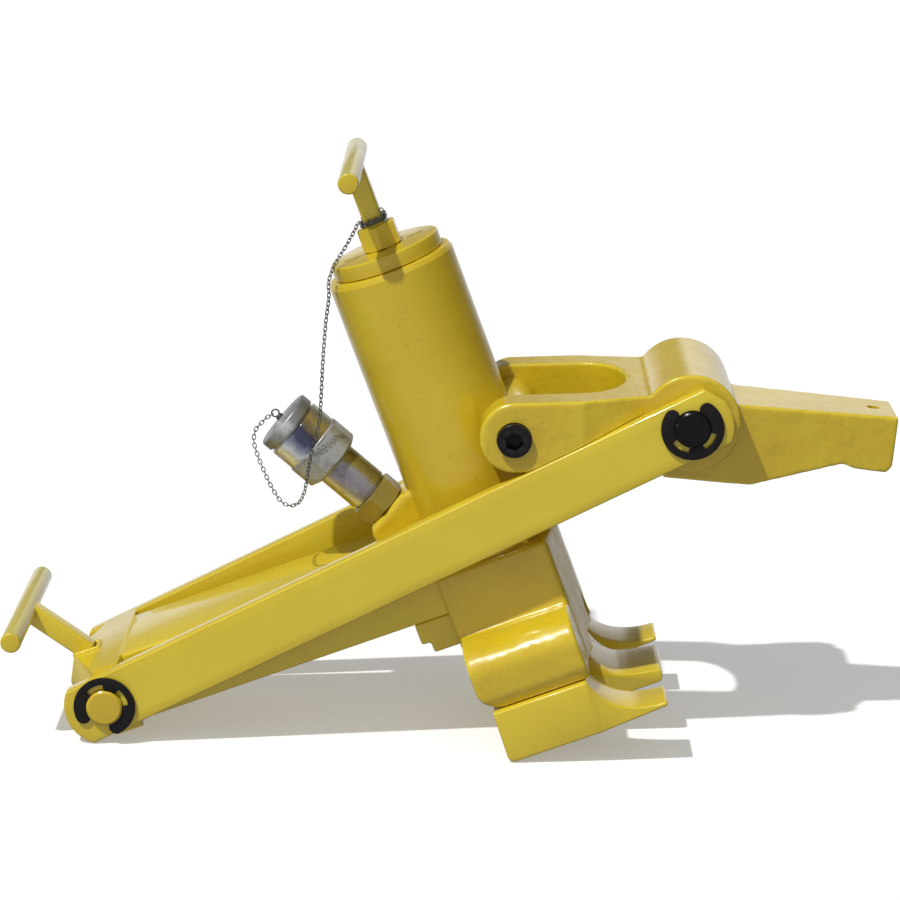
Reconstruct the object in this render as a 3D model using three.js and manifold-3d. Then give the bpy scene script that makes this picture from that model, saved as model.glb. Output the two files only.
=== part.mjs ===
// Hydraulic tyre bead breaker, in millimetres.
// It is modelled upright, with the cylinder along +Z, the beam along -X and the claws pointing to +X.
// Zero is where the cylinder's axis crosses the height of the rear pin.
// At the end the whole tool is leaned back on the rear ends of its links and the heels of its claws.
import * as THREE from 'three';
import { mergeVertices } from 'three/addons/utils/BufferGeometryUtils.js';
import Module from 'manifold-3d';

const wasm = await Module();
wasm.setup();

// Clearances shared by all pieces
const seatGap = 0.3; // between pieces that sit or run on each other
const overrun = 2; // how far a cutter passes what it cuts

// Cylinder
const cylinder = {
  radius: 34.5, bore: 25, top: 164.3, foot: -60, chamfer: 1.4, chamferRise: 3, lip: 3.6, lipRadius: 21.6,
};
const endCap = {
  radius: 30, height: 8.2, edge: 1, spigot: 14, slotLength: 9, slotWidth: 4, slotDepth: 3, slotRadius: 18,
  slotTurn: 13,
};
const capBoss = { acrossFlats: 20, height: 12.5, edge: 1.5 };

// Ram: piston, rod, spring, gland and foot
const rod = { radius: 19, spigotRadius: 11, spigotHeight: 16 };
const piston = { height: 20, bottom: 118, grooveHeight: 5, grooveDepth: 3.5, edge: 1 };
const spring = { wire: 1.7, turns: 8 };
const gland = { height: 22, edge: 1 };
const wiper = { edge: 0.8 };
const glandScrew = { radius: 8.2, length: 5.5, recess: 3, z: -50, socketFlats: 6, socketDepth: 3 };
const foot = {
  half: 21, back: -22, rootFront: 30.5, tip: 62, tipTop: -92, tipRound: 2.2, tipRoundShare: 0.3,
  waistFront: 28.5, waistShare: 0.26, hollowFront: 36, hollowShare: 0.63, shelfFront: 44, shelfShare: 0.73,
};
const footScrew = {
  headRadius: 9, headHeight: 8, shank: 5.8, socketFlats: 10, socketDepth: 5, length: 52, recess: 4,
};

// Beam, pivot block and casting
const beam = { half: 35, top: 18, bottom: -20, rear: -207 };
const pivotBlock = { noseHalf: 16, shoulder: -222, rear: -242, belly: 18, bellyShare: 0.29 };
const casting = { half: 38, back: -33.3, front: 29, top: 2, bottom: -69.7 };
const heel = { half: 33, back: -53, bottom: -32.5, stepBack: -48, stepBottom: -38.6 };
const shoulder = {
  reach: 66.5, top: -30.5, flatFrom: -52, flatTo: -62, foot: 63.5, endInset: 1.8, heelRadius: 13,
};
const claw = {
  proud: 1, width: 27, back: -27.3, backTop: -26.4, front: 25.6, heelBevel: 2.4, sole: -99.3, toe: 62,
  toeRise: 2.4, toeThick: 2.4, soleBreak: 23, reachShare: 0.5, throatShare: 0.143, liftShare: 0.2,
};

// Links and pins
const rearPin = { x: -220.2, z: 0 };
const frontPin = { x: 122.4, z: 38 };
const pin = { radius: 9.525, half: 59.2, edge: 1, groove: 1.3, grooveWidth: 1.9 };
const link = { inner: 46, thick: 9.5, half: 15.9, endRadius: 21.8, bevelFrom: 14, bevelTurn: 14 };
const clip = {
  radius: 16.6, inner: 12.2, thick: 1.3, lugHalf: 3.4, mouthHalf: 8.4, lugSpread: 78, rearMouth: -128,
  frontMouth: 82,
};
const bush = { wall: 2.8, length: 20 };

// Clamp arm, drawn about the front pin
const arm = {
  hubRadius: 25.5, hubEdge: 1.2, earX: -88.8, earZ: 25.4, earRadius: 18, earHalf: 54, earEdge: 2,
  forkSlope: 18.3, topRise: 1.3, forkInner: 34, mouthStraight: 37, mouthDepth: 23.5,
  reliefFrom: 36, reliefTo: 68, linkRoom: 0.9,
};
const nose = {
  slope: 25.4, length: 111.5, top: 7.2, rootHalf: 24, tipHalf: 18.5, webDeep: 38, webFrom: -10, webTo: 34,
  throat: 20.4, throatTo: 85, hookFrom: 91, hookDeep: 22.2, tipDeep: 19.4, tipBevel: 2.4, holeRadius: 3,
  holeBack: 11.5, holeDepth: 12, edge: 1.2,
};
const crossBar = { radius: 12.5, tubeRoom: 0.4 };
const earScrew = {
  headRadius: 9, headHeight: 10, proud: 4, shank: 5.8, reach: 24, socketFlats: 9, socketDepth: 5, edge: 1,
};

// Handles
const handleBar = { radius: 5.5, half: 57.5, edge: 1 };
const handleShank = { side: 10.5 };
const topHandle = { x: 0, rise: 54.5 };
const rearHandle = { x: -252.9, z: 50.9, footX: -230.3 };

// Port, coupler and dust cap, along an axis that leans back from the boss
const portBoss = {
  half: 14, faceX: -46.8, faceZ: 37, faceHalf: 13, rearDrop: 5.2, rearShare: 0.5, hole: 8.4, holeDepth: 9,
};
const coupler = {
  lean: 29.1, hexFlats: 25, hexHeight: 13.6, hexEdge: 1.2, stub: 8, stubLength: 8, neck: 12.2, neckLength: 25,
  ringDepth: 1, ringFrom: 5, ringWidth: 2.4, nose: 9.5, noseLength: 22, noseEdge: 1.5, bore: 5.5,
  boreDepth: 6,
};
const dustCap = {
  length: 38.7, radius: 18, mouth: 13.4, chamferLength: 2.3, disc: 17, discEdge: 1.5, discLength: 7.6,
  groove: 1.4, grooveRadius: 15.8, roof: 15.7, skirtRun: 8,
};
const capEye = { stud: 2.6, studHeight: 1.8, ring: 3.6, wire: 0.8 };

// Chain: links of bent wire, each turned a quarter from the last
const chain = { pitch: 4.9, wire: 0.6, half: 1.35, biteShare: 0.55, collar: 9.6, collarRise: 28.7 };
const chainStart = [
  [-9.9, -1.5, 28.3], [-13.5, -7, 23.2], [-18.5, -13, 17.9], [-25.4, -18.6, 12.1], [-31.2, -20, 4.5],
]; // its heights are above the cylinder's top
const chainDrop = [
  [-34.6, -20, 160], [-40, -20, 149.7], [-49.2, -20, 130], [-57.6, -20, 110.6], [-61.8, -20, 101.4],
  [-67.4, -20.2, 92.6], [-73.9, -20.6, 83], [-80.2, -20.2, 72], [-84.6, -18.5, 65], [-89.3, -16.5, 60.6],
  [-94.3, -14.5, 59.9], [-98.4, -12.5, 63], [-100.9, -10.5, 72], [-101.9, -8.5, 82], [-102.3, -6.5, 91],
  [-101.5, -4.5, 98.4], [-98.6, -2.5, 103.1], [-95, -1, 105], [-91.6, 0, 106.5],
];

// Colours and surfaces
const yellow = new THREE.MeshStandardMaterial({ color: 0xd9bf1e, roughness: 0.35, metalness: 0 });
const black = new THREE.MeshStandardMaterial({ color: 0x17171b, roughness: 0.45, metalness: 0.6 });
const zinc = new THREE.MeshStandardMaterial({ color: 0xa7a79b, roughness: 0.35, metalness: 0.9 });
const steel = new THREE.MeshStandardMaterial({ color: 0x8e9094, roughness: 0.4, metalness: 1 });
const bronze = new THREE.MeshStandardMaterial({ color: 0xa9793d, roughness: 0.5, metalness: 1 });
const seal = new THREE.MeshStandardMaterial({ color: 0x202022, roughness: 0.8, metalness: 0 });

const radians = (degrees) => THREE.MathUtils.degToRad(degrees);

// Solids and geometries

function toSolid(geometry) {
  const bare = new THREE.BufferGeometry();
  bare.setAttribute('position', geometry.getAttribute('position').clone());
  if (geometry.index) bare.setIndex(geometry.index.clone());
  const merged = mergeVertices(bare);
  const mesh = new wasm.Mesh({
    numProp: 3,
    vertProperties: new Float32Array(merged.getAttribute('position').array),
    triVerts: new Uint32Array(merged.index.array),
  });
  return new wasm.Manifold(mesh);
}

function toGeometry(solid) {
  const mesh = solid.getMesh();
  const geometry = new THREE.BufferGeometry();
  geometry.setAttribute('position', new THREE.BufferAttribute(new Float32Array(mesh.vertProperties), 3));
  geometry.setIndex(new THREE.BufferAttribute(new Uint32Array(mesh.triVerts), 1));
  return geometry;
}

const join = (...solids) => solids.reduce((all, one) => all.add(one));
const cut = (body, ...tools) => tools.reduce((left, tool) => left.subtract(tool), body);

function pushed(outline, depth) {
  const shape = outline instanceof THREE.Shape
    ? outline : new THREE.Shape(outline.map(([a, b]) => new THREE.Vector2(a, b)));
  return new THREE.ExtrudeGeometry(shape, { depth, bevelEnabled: false, curveSegments: 12 });
}

// An outline in the XZ plane, pushed through from y = near to y = far
function sidePrism(outline, near, far) {
  const geometry = pushed(outline, far - near);
  return toSolid(geometry.rotateX(Math.PI / 2).translate(0, far, 0));
}

// An outline in the XY plane, pushed up from z = low to z = high
function planPrism(outline, low, high) {
  return toSolid(pushed(outline, high - low).translate(0, 0, low));
}

// An outline in the YZ plane, pushed through from x = back to x = front
function crossPrism(outline, back, front) {
  const geometry = pushed(outline, front - back);
  return toSolid(geometry.rotateX(Math.PI / 2).rotateZ(Math.PI / 2).translate(back, 0, 0));
}

function block([x0, x1], [y0, y1], [z0, z1]) {
  const geometry = new THREE.BoxGeometry(x1 - x0, y1 - y0, z1 - z0);
  return toSolid(geometry.translate((x0 + x1) / 2, (y0 + y1) / 2, (z0 + z1) / 2));
}

// A profile of [radius, height] pairs turned about +Z
function turned(profile, facets = 40) {
  const points = profile.map(([radius, height]) => new THREE.Vector2(radius, height));
  const geometry = new THREE.LatheGeometry([...points, points[0].clone()], facets);
  return toSolid(geometry.rotateX(Math.PI / 2));
}

function drum(radius, low, high, facets = 40) {
  return turned([[0, low], [radius, low], [radius, high], [0, high]], facets);
}

// A bar along +Y with both ends bevelled
function barY(radius, half, edge, facets = 24) {
  const profile = [
    [0, -half], [radius - edge, -half], [radius, -half + edge], [radius, half - edge],
    [radius - edge, half], [0, half],
  ];
  return turned(profile, facets).rotate([-90, 0, 0]);
}

function boreY(radius, near, far, facets = 24) {
  return drum(radius, near, far, facets).rotate([-90, 0, 0]);
}

function hexagon(acrossFlats, low, high) {
  const corner = acrossFlats / 2 / Math.cos(Math.PI / 6);
  const points = Array.from({ length: 6 }, (_, i) => {
    const angle = (i * Math.PI) / 3 + Math.PI / 6;
    return [corner * Math.cos(angle), corner * Math.sin(angle)];
  });
  return planPrism(points, low, high);
}

// A hexagon with its upper corners turned off
function nutBody(acrossFlats, height, edge) {
  const corner = acrossFlats / 2 / Math.cos(Math.PI / 6);
  const cone = turned([
    [0, 0], [corner + edge, 0], [corner + edge, height - edge], [(acrossFlats - edge) / 2, height],
    [0, height],
  ], 36);
  return hexagon(acrossFlats, 0, height).intersect(cone);
}

const model = new THREE.Group();

function add(name, solid, material) {
  const mesh = new THREE.Mesh(toGeometry(solid), material);
  mesh.name = name;
  model.add(mesh);
}

const tubeRoom = drum(cylinder.radius + seatGap, cylinder.foot - overrun, cylinder.top + overrun, 48);

// Cylinder tube: bored through, with a lip that holds the gland, and a round hole at the front
const lipTop = cylinder.foot + cylinder.lip;
const tube = turned([
  [cylinder.lipRadius, cylinder.foot], [cylinder.radius, cylinder.foot],
  [cylinder.radius, cylinder.top - cylinder.chamferRise], [cylinder.radius - cylinder.chamfer, cylinder.top],
  [cylinder.bore, cylinder.top], [cylinder.bore, lipTop], [cylinder.lipRadius, lipTop],
]);
const frontHole = drum(glandScrew.radius + seatGap, cylinder.bore - overrun, cylinder.radius + overrun, 24)
  .rotate([0, 90, 0]).translate([0, 0, glandScrew.z]);
add('cylinder_tube', cut(tube, frontHole), yellow);

// End cap with two spanner slots, and the hexagon boss under the upper handle
const capSeat = cylinder.top + seatGap;
const capTop = capSeat + endCap.height;
const slotFar = endCap.slotRadius + endCap.slotLength / 2;
const slotNear = endCap.slotRadius - endCap.slotLength / 2;
const slotHalf = endCap.slotWidth / 2;
const slot = block([slotNear, slotFar], [-slotHalf, slotHalf], [capTop - endCap.slotDepth, capTop + overrun]);
add('end_cap', cut(
  turned([
    [0, cylinder.top - endCap.spigot], [cylinder.bore - seatGap, cylinder.top - endCap.spigot],
    [cylinder.bore - seatGap, capSeat], [endCap.radius, capSeat], [endCap.radius, capTop - endCap.edge],
    [endCap.radius - endCap.edge, capTop], [0, capTop],
  ], 36),
  slot.rotate([0, 0, endCap.slotTurn]), slot.rotate([0, 0, endCap.slotTurn + 180]),
), yellow);
const bossSeat = capTop + seatGap;
const bossTop = bossSeat + capBoss.height;
const bossNut = nutBody(capBoss.acrossFlats, capBoss.height, capBoss.edge);
add('cap_boss', bossNut.translate([0, 0, bossSeat]), yellow);

// T-handles: a round bar across a square shank that is coped to it
const shankHalf = handleShank.side / 2;
function tHandle(barName, shankName, x, z, shank) {
  const barRoom = boreY(handleBar.radius + seatGap, -shankHalf - overrun, shankHalf + overrun, 28)
    .translate([x, 0, z]);
  add(barName, barY(handleBar.radius, handleBar.half, handleBar.edge).translate([x, 0, z]), yellow);
  add(shankName, cut(shank, barRoom), yellow);
}
const topBarZ = cylinder.top + topHandle.rise;
tHandle('handle_top_bar', 'handle_top_shank', topHandle.x, topBarZ, block(
  [topHandle.x - shankHalf, topHandle.x + shankHalf], [-shankHalf, shankHalf], [bossTop + seatGap, topBarZ],
));
const blockTop = beam.top;
const rearLean = Math.atan2(rearHandle.footX - rearHandle.x, rearHandle.z - blockTop);
const rearReach = Math.hypot(rearHandle.footX - rearHandle.x, rearHandle.z - blockTop) + handleShank.side;
tHandle('handle_rear_bar', 'handle_rear_shank', rearHandle.x, rearHandle.z, cut(
  block([-shankHalf, shankHalf], [-shankHalf, shankHalf], [-rearReach, 0])
    .rotate([0, -THREE.MathUtils.radToDeg(rearLean), 0]).translate([rearHandle.x, 0, rearHandle.z]),
  block(
    [pivotBlock.rear - rearReach, beam.rear], [-beam.half, beam.half],
    [beam.bottom - rearReach, blockTop + seatGap],
  ),
));

// Beam, ending against the cylinder
add('beam', cut(
  block([beam.rear + seatGap, casting.back - seatGap], [-beam.half, beam.half], [beam.bottom, beam.top]),
  tubeRoom,
), yellow);

// What turns between the links clears both of them
const innerHalf = link.inner - seatGap;

// Pivot block: six-sided in plan, rounded under its nose, bored for two bushes
const bushRadius = pin.radius + seatGap + bush.wall;
const bellyZ = beam.bottom + pivotBlock.belly;
const bellyCut = pivotBlock.belly * pivotBlock.bellyShare;
const pivotSide = [
  [beam.rear, beam.top], [pivotBlock.rear, beam.top], [pivotBlock.rear, bellyZ],
  [pivotBlock.rear + bellyCut, beam.bottom + bellyCut],
  [pivotBlock.rear + pivotBlock.belly, beam.bottom], [beam.rear, beam.bottom],
];
const pivotPlan = [
  [beam.rear, -beam.half], [beam.rear, beam.half], [pivotBlock.shoulder, innerHalf],
  [pivotBlock.rear, pivotBlock.noseHalf], [pivotBlock.rear, -pivotBlock.noseHalf],
  [pivotBlock.shoulder, -innerHalf],
].reverse();
const pivotPost = planPrism(pivotPlan, beam.bottom - overrun, beam.top + overrun);
add('pivot_block', cut(
  sidePrism(pivotSide, -innerHalf, innerHalf).intersect(pivotPost),
  boreY(bushRadius + seatGap, -innerHalf - overrun, innerHalf + overrun).translate([rearPin.x, 0, rearPin.z]),
), yellow);

function addBushes(prefix, place, half, length) {
  for (const [side, sign] of [['near', -1], ['far', 1]]) {
    const ring = cut(boreY(bushRadius, 0, length), boreY(pin.radius + seatGap, -overrun, length + overrun));
    const start = sign < 0 ? -half : half - length;
    add(`${prefix}_${side}`, ring.translate([place.x, start, place.z]), bronze);
  }
}
addBushes('pivot_bush', rearPin, innerHalf, bush.length);

// Casting: two cheeks round the cylinder, a stepped heel, and a rolled shoulder over each claw
const rollRadius = shoulder.reach - casting.half;
const rollDrop = shoulder.top - shoulder.flatFrom;
const rollSteps = 7;
const roll = Array.from({ length: rollSteps + 1 }, (_, i) => {
  const angle = ((rollSteps - i) * Math.PI) / 2 / rollSteps;
  return [casting.half + rollRadius * Math.cos(angle), shoulder.flatFrom + rollDrop * Math.sin(angle)];
});
const rollOutline = [
  [casting.half - overrun, casting.bottom], [casting.half - overrun, shoulder.top], ...roll,
  [shoulder.reach, shoulder.flatTo], [shoulder.foot, casting.bottom],
];
const rollBack = casting.back + shoulder.endInset;
const rollFront = casting.front - shoulder.endInset;
const farRoll = crossPrism([...rollOutline].reverse(), rollBack, rollFront);
const nearRoll = crossPrism(rollOutline.map(([y, z]) => [-y, z]), rollBack, rollFront);
const rollSide = new THREE.Shape();
rollSide.moveTo(rollBack, shoulder.top);
rollSide.absarc(
  rollBack + shoulder.heelRadius, casting.bottom + shoulder.heelRadius, shoulder.heelRadius,
  Math.PI, (3 * Math.PI) / 2, false,
);
rollSide.lineTo(rollFront, casting.bottom);
rollSide.lineTo(rollFront, shoulder.top);
const heelRound = sidePrism(rollSide, -shoulder.reach, shoulder.reach);
const heelTop = beam.bottom - seatGap;
const heelSide = [
  [casting.back + overrun, heelTop], [heel.back, heelTop], [heel.back, heel.bottom],
  [heel.stepBack, heel.bottom],
  [heel.stepBack, heel.stepBottom], [casting.back + overrun, heel.stepBottom],
];
const footRoom = block(
  [foot.back - seatGap, casting.front + overrun], [-foot.half - seatGap, foot.half + seatGap],
  [casting.bottom - overrun, cylinder.foot + overrun],
);
add('casting', cut(
  join(
    block([casting.back, casting.front], [-casting.half, casting.half], [casting.bottom, casting.top]),
    farRoll.intersect(heelRound), nearRoll.intersect(heelRound), sidePrism(heelSide, -heel.half, heel.half),
  ),
  drum(cylinder.radius + seatGap, cylinder.foot - seatGap, cylinder.top, 48), footRoom,
), yellow);

// Claws: flat soles, square backs and a hollow curve down to a thin toe
const clawTop = casting.bottom - seatGap;
const clawDepth = clawTop - claw.sole;
const toeTop = claw.sole + claw.toeRise + claw.toeThick;
const clawOutline = new THREE.Shape();
clawOutline.moveTo(claw.backTop, clawTop);
clawOutline.lineTo(claw.back, claw.sole + claw.heelBevel);
clawOutline.lineTo(claw.back + claw.heelBevel, claw.sole);
clawOutline.lineTo(claw.soleBreak, claw.sole);
clawOutline.lineTo(claw.toe, claw.sole + claw.toeRise);
clawOutline.lineTo(claw.toe, toeTop);
clawOutline.bezierCurveTo(
  claw.toe - clawDepth * claw.reachShare, toeTop,
  claw.front + clawDepth * claw.throatShare, toeTop + clawDepth * claw.liftShare, claw.front, clawTop,
);
const clawOuter = shoulder.reach + claw.proud;
const clawInner = clawOuter - claw.width;
add('claw_near', sidePrism(clawOutline, -clawOuter, -clawInner), yellow);
add('claw_far', sidePrism(clawOutline, clawInner, clawOuter), yellow);

// Ram foot: the middle finger, seated under the cylinder, with a recess for its screw
const footTop = cylinder.foot - seatGap;
const footDepth = footTop - claw.sole;
const footOutline = new THREE.Shape();
footOutline.moveTo(foot.back, footTop);
footOutline.lineTo(foot.back, claw.sole);
footOutline.lineTo(foot.tip - foot.tipRound, claw.sole);
footOutline.lineTo(foot.tip, claw.sole + foot.tipRound);
footOutline.lineTo(foot.tip, foot.tipTop - foot.tipRound * foot.tipRoundShare);
footOutline.lineTo(foot.tip - foot.tipRound, foot.tipTop);
footOutline.splineThru([
  new THREE.Vector2(foot.shelfFront, footTop - footDepth * foot.shelfShare),
  new THREE.Vector2(foot.hollowFront, footTop - footDepth * foot.hollowShare),
  new THREE.Vector2(foot.waistFront, footTop - footDepth * foot.waistShare),
  new THREE.Vector2(foot.rootFront, footTop),
]);
const soleRecess = claw.sole + footScrew.recess + footScrew.headHeight;
add('ram_foot', cut(
  sidePrism(footOutline, -foot.half, foot.half),
  drum(footScrew.shank + seatGap, claw.sole - overrun, footTop + overrun, 20),
  drum(footScrew.headRadius + seatGap, claw.sole - overrun, soleRecess + seatGap, 24),
), yellow);
const screwTop = claw.sole + footScrew.recess + footScrew.length;
add('foot_screw', cut(
  join(
    drum(footScrew.headRadius, claw.sole + footScrew.recess, soleRecess, 24),
    drum(footScrew.shank, soleRecess - overrun, screwTop, 20),
  ),
  hexagon(footScrew.socketFlats, claw.sole, claw.sole + footScrew.recess + footScrew.socketDepth),
), black);

// Rod, piston and seal, with the spring between the piston and the gland
const rodTop = piston.bottom - seatGap;
add('ram_rod', cut(
  turned([
    [0, footTop + seatGap], [rod.radius, footTop + seatGap], [rod.radius, rodTop], [rod.spigotRadius, rodTop],
    [rod.spigotRadius, rodTop + rod.spigotHeight], [0, rodTop + rod.spigotHeight],
  ], 24),
  drum(footScrew.shank + seatGap, footTop, screwTop + seatGap, 20),
), steel);
const pistonRadius = cylinder.bore - seatGap;
const grooveLow = piston.bottom + (piston.height - piston.grooveHeight) / 2;
const grooveHigh = grooveLow + piston.grooveHeight;
const grooveFloor = pistonRadius - piston.grooveDepth;
const pistonTop = piston.bottom + piston.height;
add('piston', turned([
  [rod.spigotRadius + seatGap, piston.bottom], [pistonRadius, piston.bottom], [pistonRadius, grooveLow],
  [grooveFloor, grooveLow], [grooveFloor, grooveHigh], [pistonRadius, grooveHigh],
  [pistonRadius, pistonTop - piston.edge], [pistonRadius - piston.edge, pistonTop],
  [rod.spigotRadius + seatGap, pistonTop],
], 24), steel);
add('piston_seal', turned([
  [grooveFloor + seatGap, grooveLow + seatGap], [pistonRadius, grooveLow + seatGap],
  [pistonRadius, grooveHigh - seatGap], [grooveFloor + seatGap, grooveHigh - seatGap],
], 24), seal);
const glandLow = lipTop + seatGap;
const glandTop = glandLow + gland.height;
const glandRadius = cylinder.bore - seatGap;
const rodRoom = rod.radius + seatGap;
add('rod_gland', turned([
  [rodRoom, glandLow], [glandRadius, glandLow], [glandRadius, glandTop - gland.edge],
  [glandRadius - gland.edge, glandTop], [rodRoom, glandTop],
], 24), bronze);
add('rod_wiper', turned([
  [rodRoom, cylinder.foot + wiper.edge], [rodRoom + wiper.edge, cylinder.foot],
  [cylinder.lipRadius - seatGap, cylinder.foot], [cylinder.lipRadius - seatGap, lipTop], [rodRoom, lipTop],
], 24), seal);

const springRadius = (rod.radius + cylinder.bore) / 2;
class Coil extends THREE.Curve {
  getPoint(share, target = new THREE.Vector3()) {
    const angle = share * spring.turns * 2 * Math.PI;
    const low = glandTop + seatGap + spring.wire;
    const high = piston.bottom - seatGap - spring.wire;
    target.set(springRadius * Math.cos(angle), springRadius * Math.sin(angle), low + (high - low) * share);
    return target;
  }
}
function wireSection(radius, sides) {
  return new THREE.Shape(Array.from({ length: sides }, (_, i) => {
    const angle = (i * 2 * Math.PI) / sides;
    return new THREE.Vector2(radius * Math.cos(angle), radius * Math.sin(angle));
  }));
}
add('return_spring', toSolid(new THREE.ExtrudeGeometry(wireSection(spring.wire, 4), {
  steps: spring.turns * 10, extrudePath: new Coil(), bevelEnabled: false,
})), steel);

// Set screw in the front hole: it locks the gland
const setScrewFar = cylinder.radius - glandScrew.recess;
add('gland_screw', cut(
  drum(glandScrew.radius, setScrewFar - glandScrew.length, setScrewFar, 24),
  hexagon(glandScrew.socketFlats, setScrewFar - glandScrew.socketDepth, setScrewFar + overrun),
).rotate([0, 90, 0]).translate([0, 0, glandScrew.z]), black);

// Links: flat bars with round ends, one outside each end of the pins
const linkAngle = Math.atan2(frontPin.z - rearPin.z, frontPin.x - rearPin.x);
const linkLength = Math.hypot(frontPin.z - rearPin.z, frontPin.x - rearPin.x);
const linkCorner = Math.asin(link.half / link.endRadius);
const linkOutline = new THREE.Shape();
linkOutline.absarc(0, 0, link.endRadius, Math.PI - linkCorner, Math.PI + linkCorner, false);
linkOutline.absarc(linkLength, 0, link.endRadius, -linkCorner, radians(link.bevelTurn), false);
linkOutline.lineTo(linkLength + link.bevelFrom, link.half);
function placeOnLink(solid) {
  return solid.rotate([0, -THREE.MathUtils.radToDeg(linkAngle), 0]).translate([rearPin.x, 0, rearPin.z]);
}
const linkOuter = link.inner + link.thick;
for (const [side, near] of [['near', -linkOuter], ['far', link.inner]]) {
  const plate = cut(
    sidePrism(linkOutline, near, near + link.thick),
    boreY(pin.radius + seatGap, near - overrun, near + link.thick + overrun),
    boreY(pin.radius + seatGap, near - overrun, near + link.thick + overrun).translate([linkLength, 0, 0]),
  );
  add(`link_${side}`, placeOnLink(plate), yellow);
}

// Pins, each grooved for a clip outside both links
const grooveNear = linkOuter + seatGap;
const pinGroove = cut(
  boreY(pin.radius + overrun, grooveNear, grooveNear + pin.grooveWidth, 20),
  boreY(pin.radius - pin.groove, grooveNear - overrun, grooveNear + pin.grooveWidth + overrun, 20),
);
const pinSolid = cut(barY(pin.radius, pin.half, pin.edge), pinGroove, pinGroove.mirror([0, 1, 0]));
add('pin_rear', pinSolid.translate([rearPin.x, 0, rearPin.z]), yellow);
add('pin_front', pinSolid.translate([frontPin.x, 0, frontPin.z]), black);

// E-clips: an open ring with three lugs in the pin's groove
function clipSolid(mouthAngle) {
  const ring = cut(
    boreY(clip.radius, 0, clip.thick, 28), boreY(clip.inner, -overrun, clip.thick + overrun, 20),
    block([0, clip.radius + overrun], [-overrun, clip.thick + overrun], [-clip.mouthHalf, clip.mouthHalf]),
  );
  const grip = pin.radius - pin.groove + seatGap;
  const lug = block(
    [grip - overrun / 2, clip.inner + overrun / 2], [0, clip.thick], [-clip.lugHalf, clip.lugHalf],
  );
  const lugs = [180, 180 - clip.lugSpread, 180 + clip.lugSpread].map((turn) => lug.rotate([0, -turn, 0]));
  const gripRoom = boreY(grip, -overrun, clip.thick + overrun, 20);
  return cut(join(ring, ...lugs), gripRoom).rotate([0, -mouthAngle, 0]);
}
const clipGap = (pin.grooveWidth - clip.thick) / 2;
const clipPlaces = [['clip_rear', rearPin, clip.rearMouth], ['clip_front', frontPin, clip.frontMouth]];
for (const [name, place, mouth] of clipPlaces) {
  const solid = clipSolid(mouth);
  add(`${name}_near`, solid.translate([place.x, -grooveNear - clipGap - clip.thick, place.z]), black);
  add(`${name}_far`, solid.translate([place.x, grooveNear + clipGap, place.z]), black);
}

// Clamp arm: fork with round ears, hub, and a hooked nose on a deep web
const ear = { x: frontPin.x + arm.earX, z: frontPin.z + arm.earZ };
const forkRun = Math.hypot(arm.earX, arm.earZ);
function placeOnFork(solid) {
  return solid.rotate([0, arm.forkSlope, 0]).translate([ear.x, 0, ear.z]);
}
function placeOnNose(solid) {
  return solid.rotate([0, nose.slope, 0]).translate([frontPin.x, 0, frontPin.z]);
}
const forkSide = new THREE.Shape();
const forkTop = arm.earRadius + arm.topRise;
forkSide.absellipse(0, 0, arm.earRadius, forkTop, Math.PI / 2, Math.PI, false);
forkSide.absarc(0, 0, arm.earRadius, Math.PI, (3 * Math.PI) / 2, false);
forkSide.lineTo(forkRun, -arm.earRadius);
forkSide.lineTo(forkRun, forkTop);
const forkPlanHalf = (sign) => [
  [-arm.earRadius - overrun, arm.earHalf - arm.earEdge], [-arm.earRadius + arm.earEdge, arm.earHalf],
  [arm.reliefFrom, arm.earHalf], [arm.reliefTo, innerHalf], [forkRun, innerHalf],
].map(([x, y]) => [x, sign * y]);
const forkOver = forkTop + overrun;
const forkPlan = planPrism([...forkPlanHalf(-1), ...forkPlanHalf(1).reverse()], -forkOver, forkOver);
const mouth = new THREE.Shape();
mouth.moveTo(-forkOver, -arm.forkInner);
mouth.lineTo(arm.mouthStraight, -arm.forkInner);
mouth.absellipse(arm.mouthStraight, 0, arm.mouthDepth, arm.forkInner, -Math.PI / 2, Math.PI / 2, false);
mouth.lineTo(-forkOver, arm.forkInner);
const fork = placeOnFork(cut(
  sidePrism(forkSide, -arm.earHalf, arm.earHalf).intersect(forkPlan), planPrism(mouth, -forkOver, forkOver),
));
// Outside the hub's width the fork stays above the links that it passes
const besideLinks = block(
  [-linkLength, linkLength + arm.hubRadius + overrun], [0, arm.earHalf],
  [-linkLength, link.half + arm.linkRoom],
);
const linkRoomFar = placeOnLink(besideLinks.translate([0, innerHalf, 0]));
const linkRoomNear = placeOnLink(besideLinks.translate([0, -innerHalf - arm.earHalf, 0]));
const hub = barY(arm.hubRadius, innerHalf, arm.hubEdge, 32).translate([frontPin.x, 0, frontPin.z]);
const noseOutline = [
  [0, nose.top], [nose.webFrom, -nose.webDeep], [nose.webTo, -nose.webDeep], [nose.throatTo, -nose.throat],
  [nose.hookFrom, -nose.hookDeep], [nose.length - nose.tipBevel, -nose.tipDeep],
  [nose.length, -nose.tipDeep + nose.tipBevel], [nose.length, nose.top - nose.edge],
  [nose.length - nose.edge, nose.top],
];
const nosePlan = [
  [nose.webFrom - overrun, -nose.rootHalf], [arm.hubRadius, -nose.rootHalf], [nose.length, -nose.tipHalf],
  [nose.length, nose.tipHalf], [arm.hubRadius, nose.rootHalf], [nose.webFrom - overrun, nose.rootHalf],
];
const noseSolid = placeOnNose(cut(
  sidePrism(noseOutline, -nose.rootHalf, nose.rootHalf)
    .intersect(planPrism(nosePlan, -nose.webDeep - overrun, nose.top + overrun)),
  drum(nose.holeRadius, nose.top - nose.holeDepth, nose.top + overrun, 16)
    .translate([nose.length - nose.holeBack, 0, 0]),
));
const headSeat = arm.earHalf + earScrew.proud - earScrew.headHeight;
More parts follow.
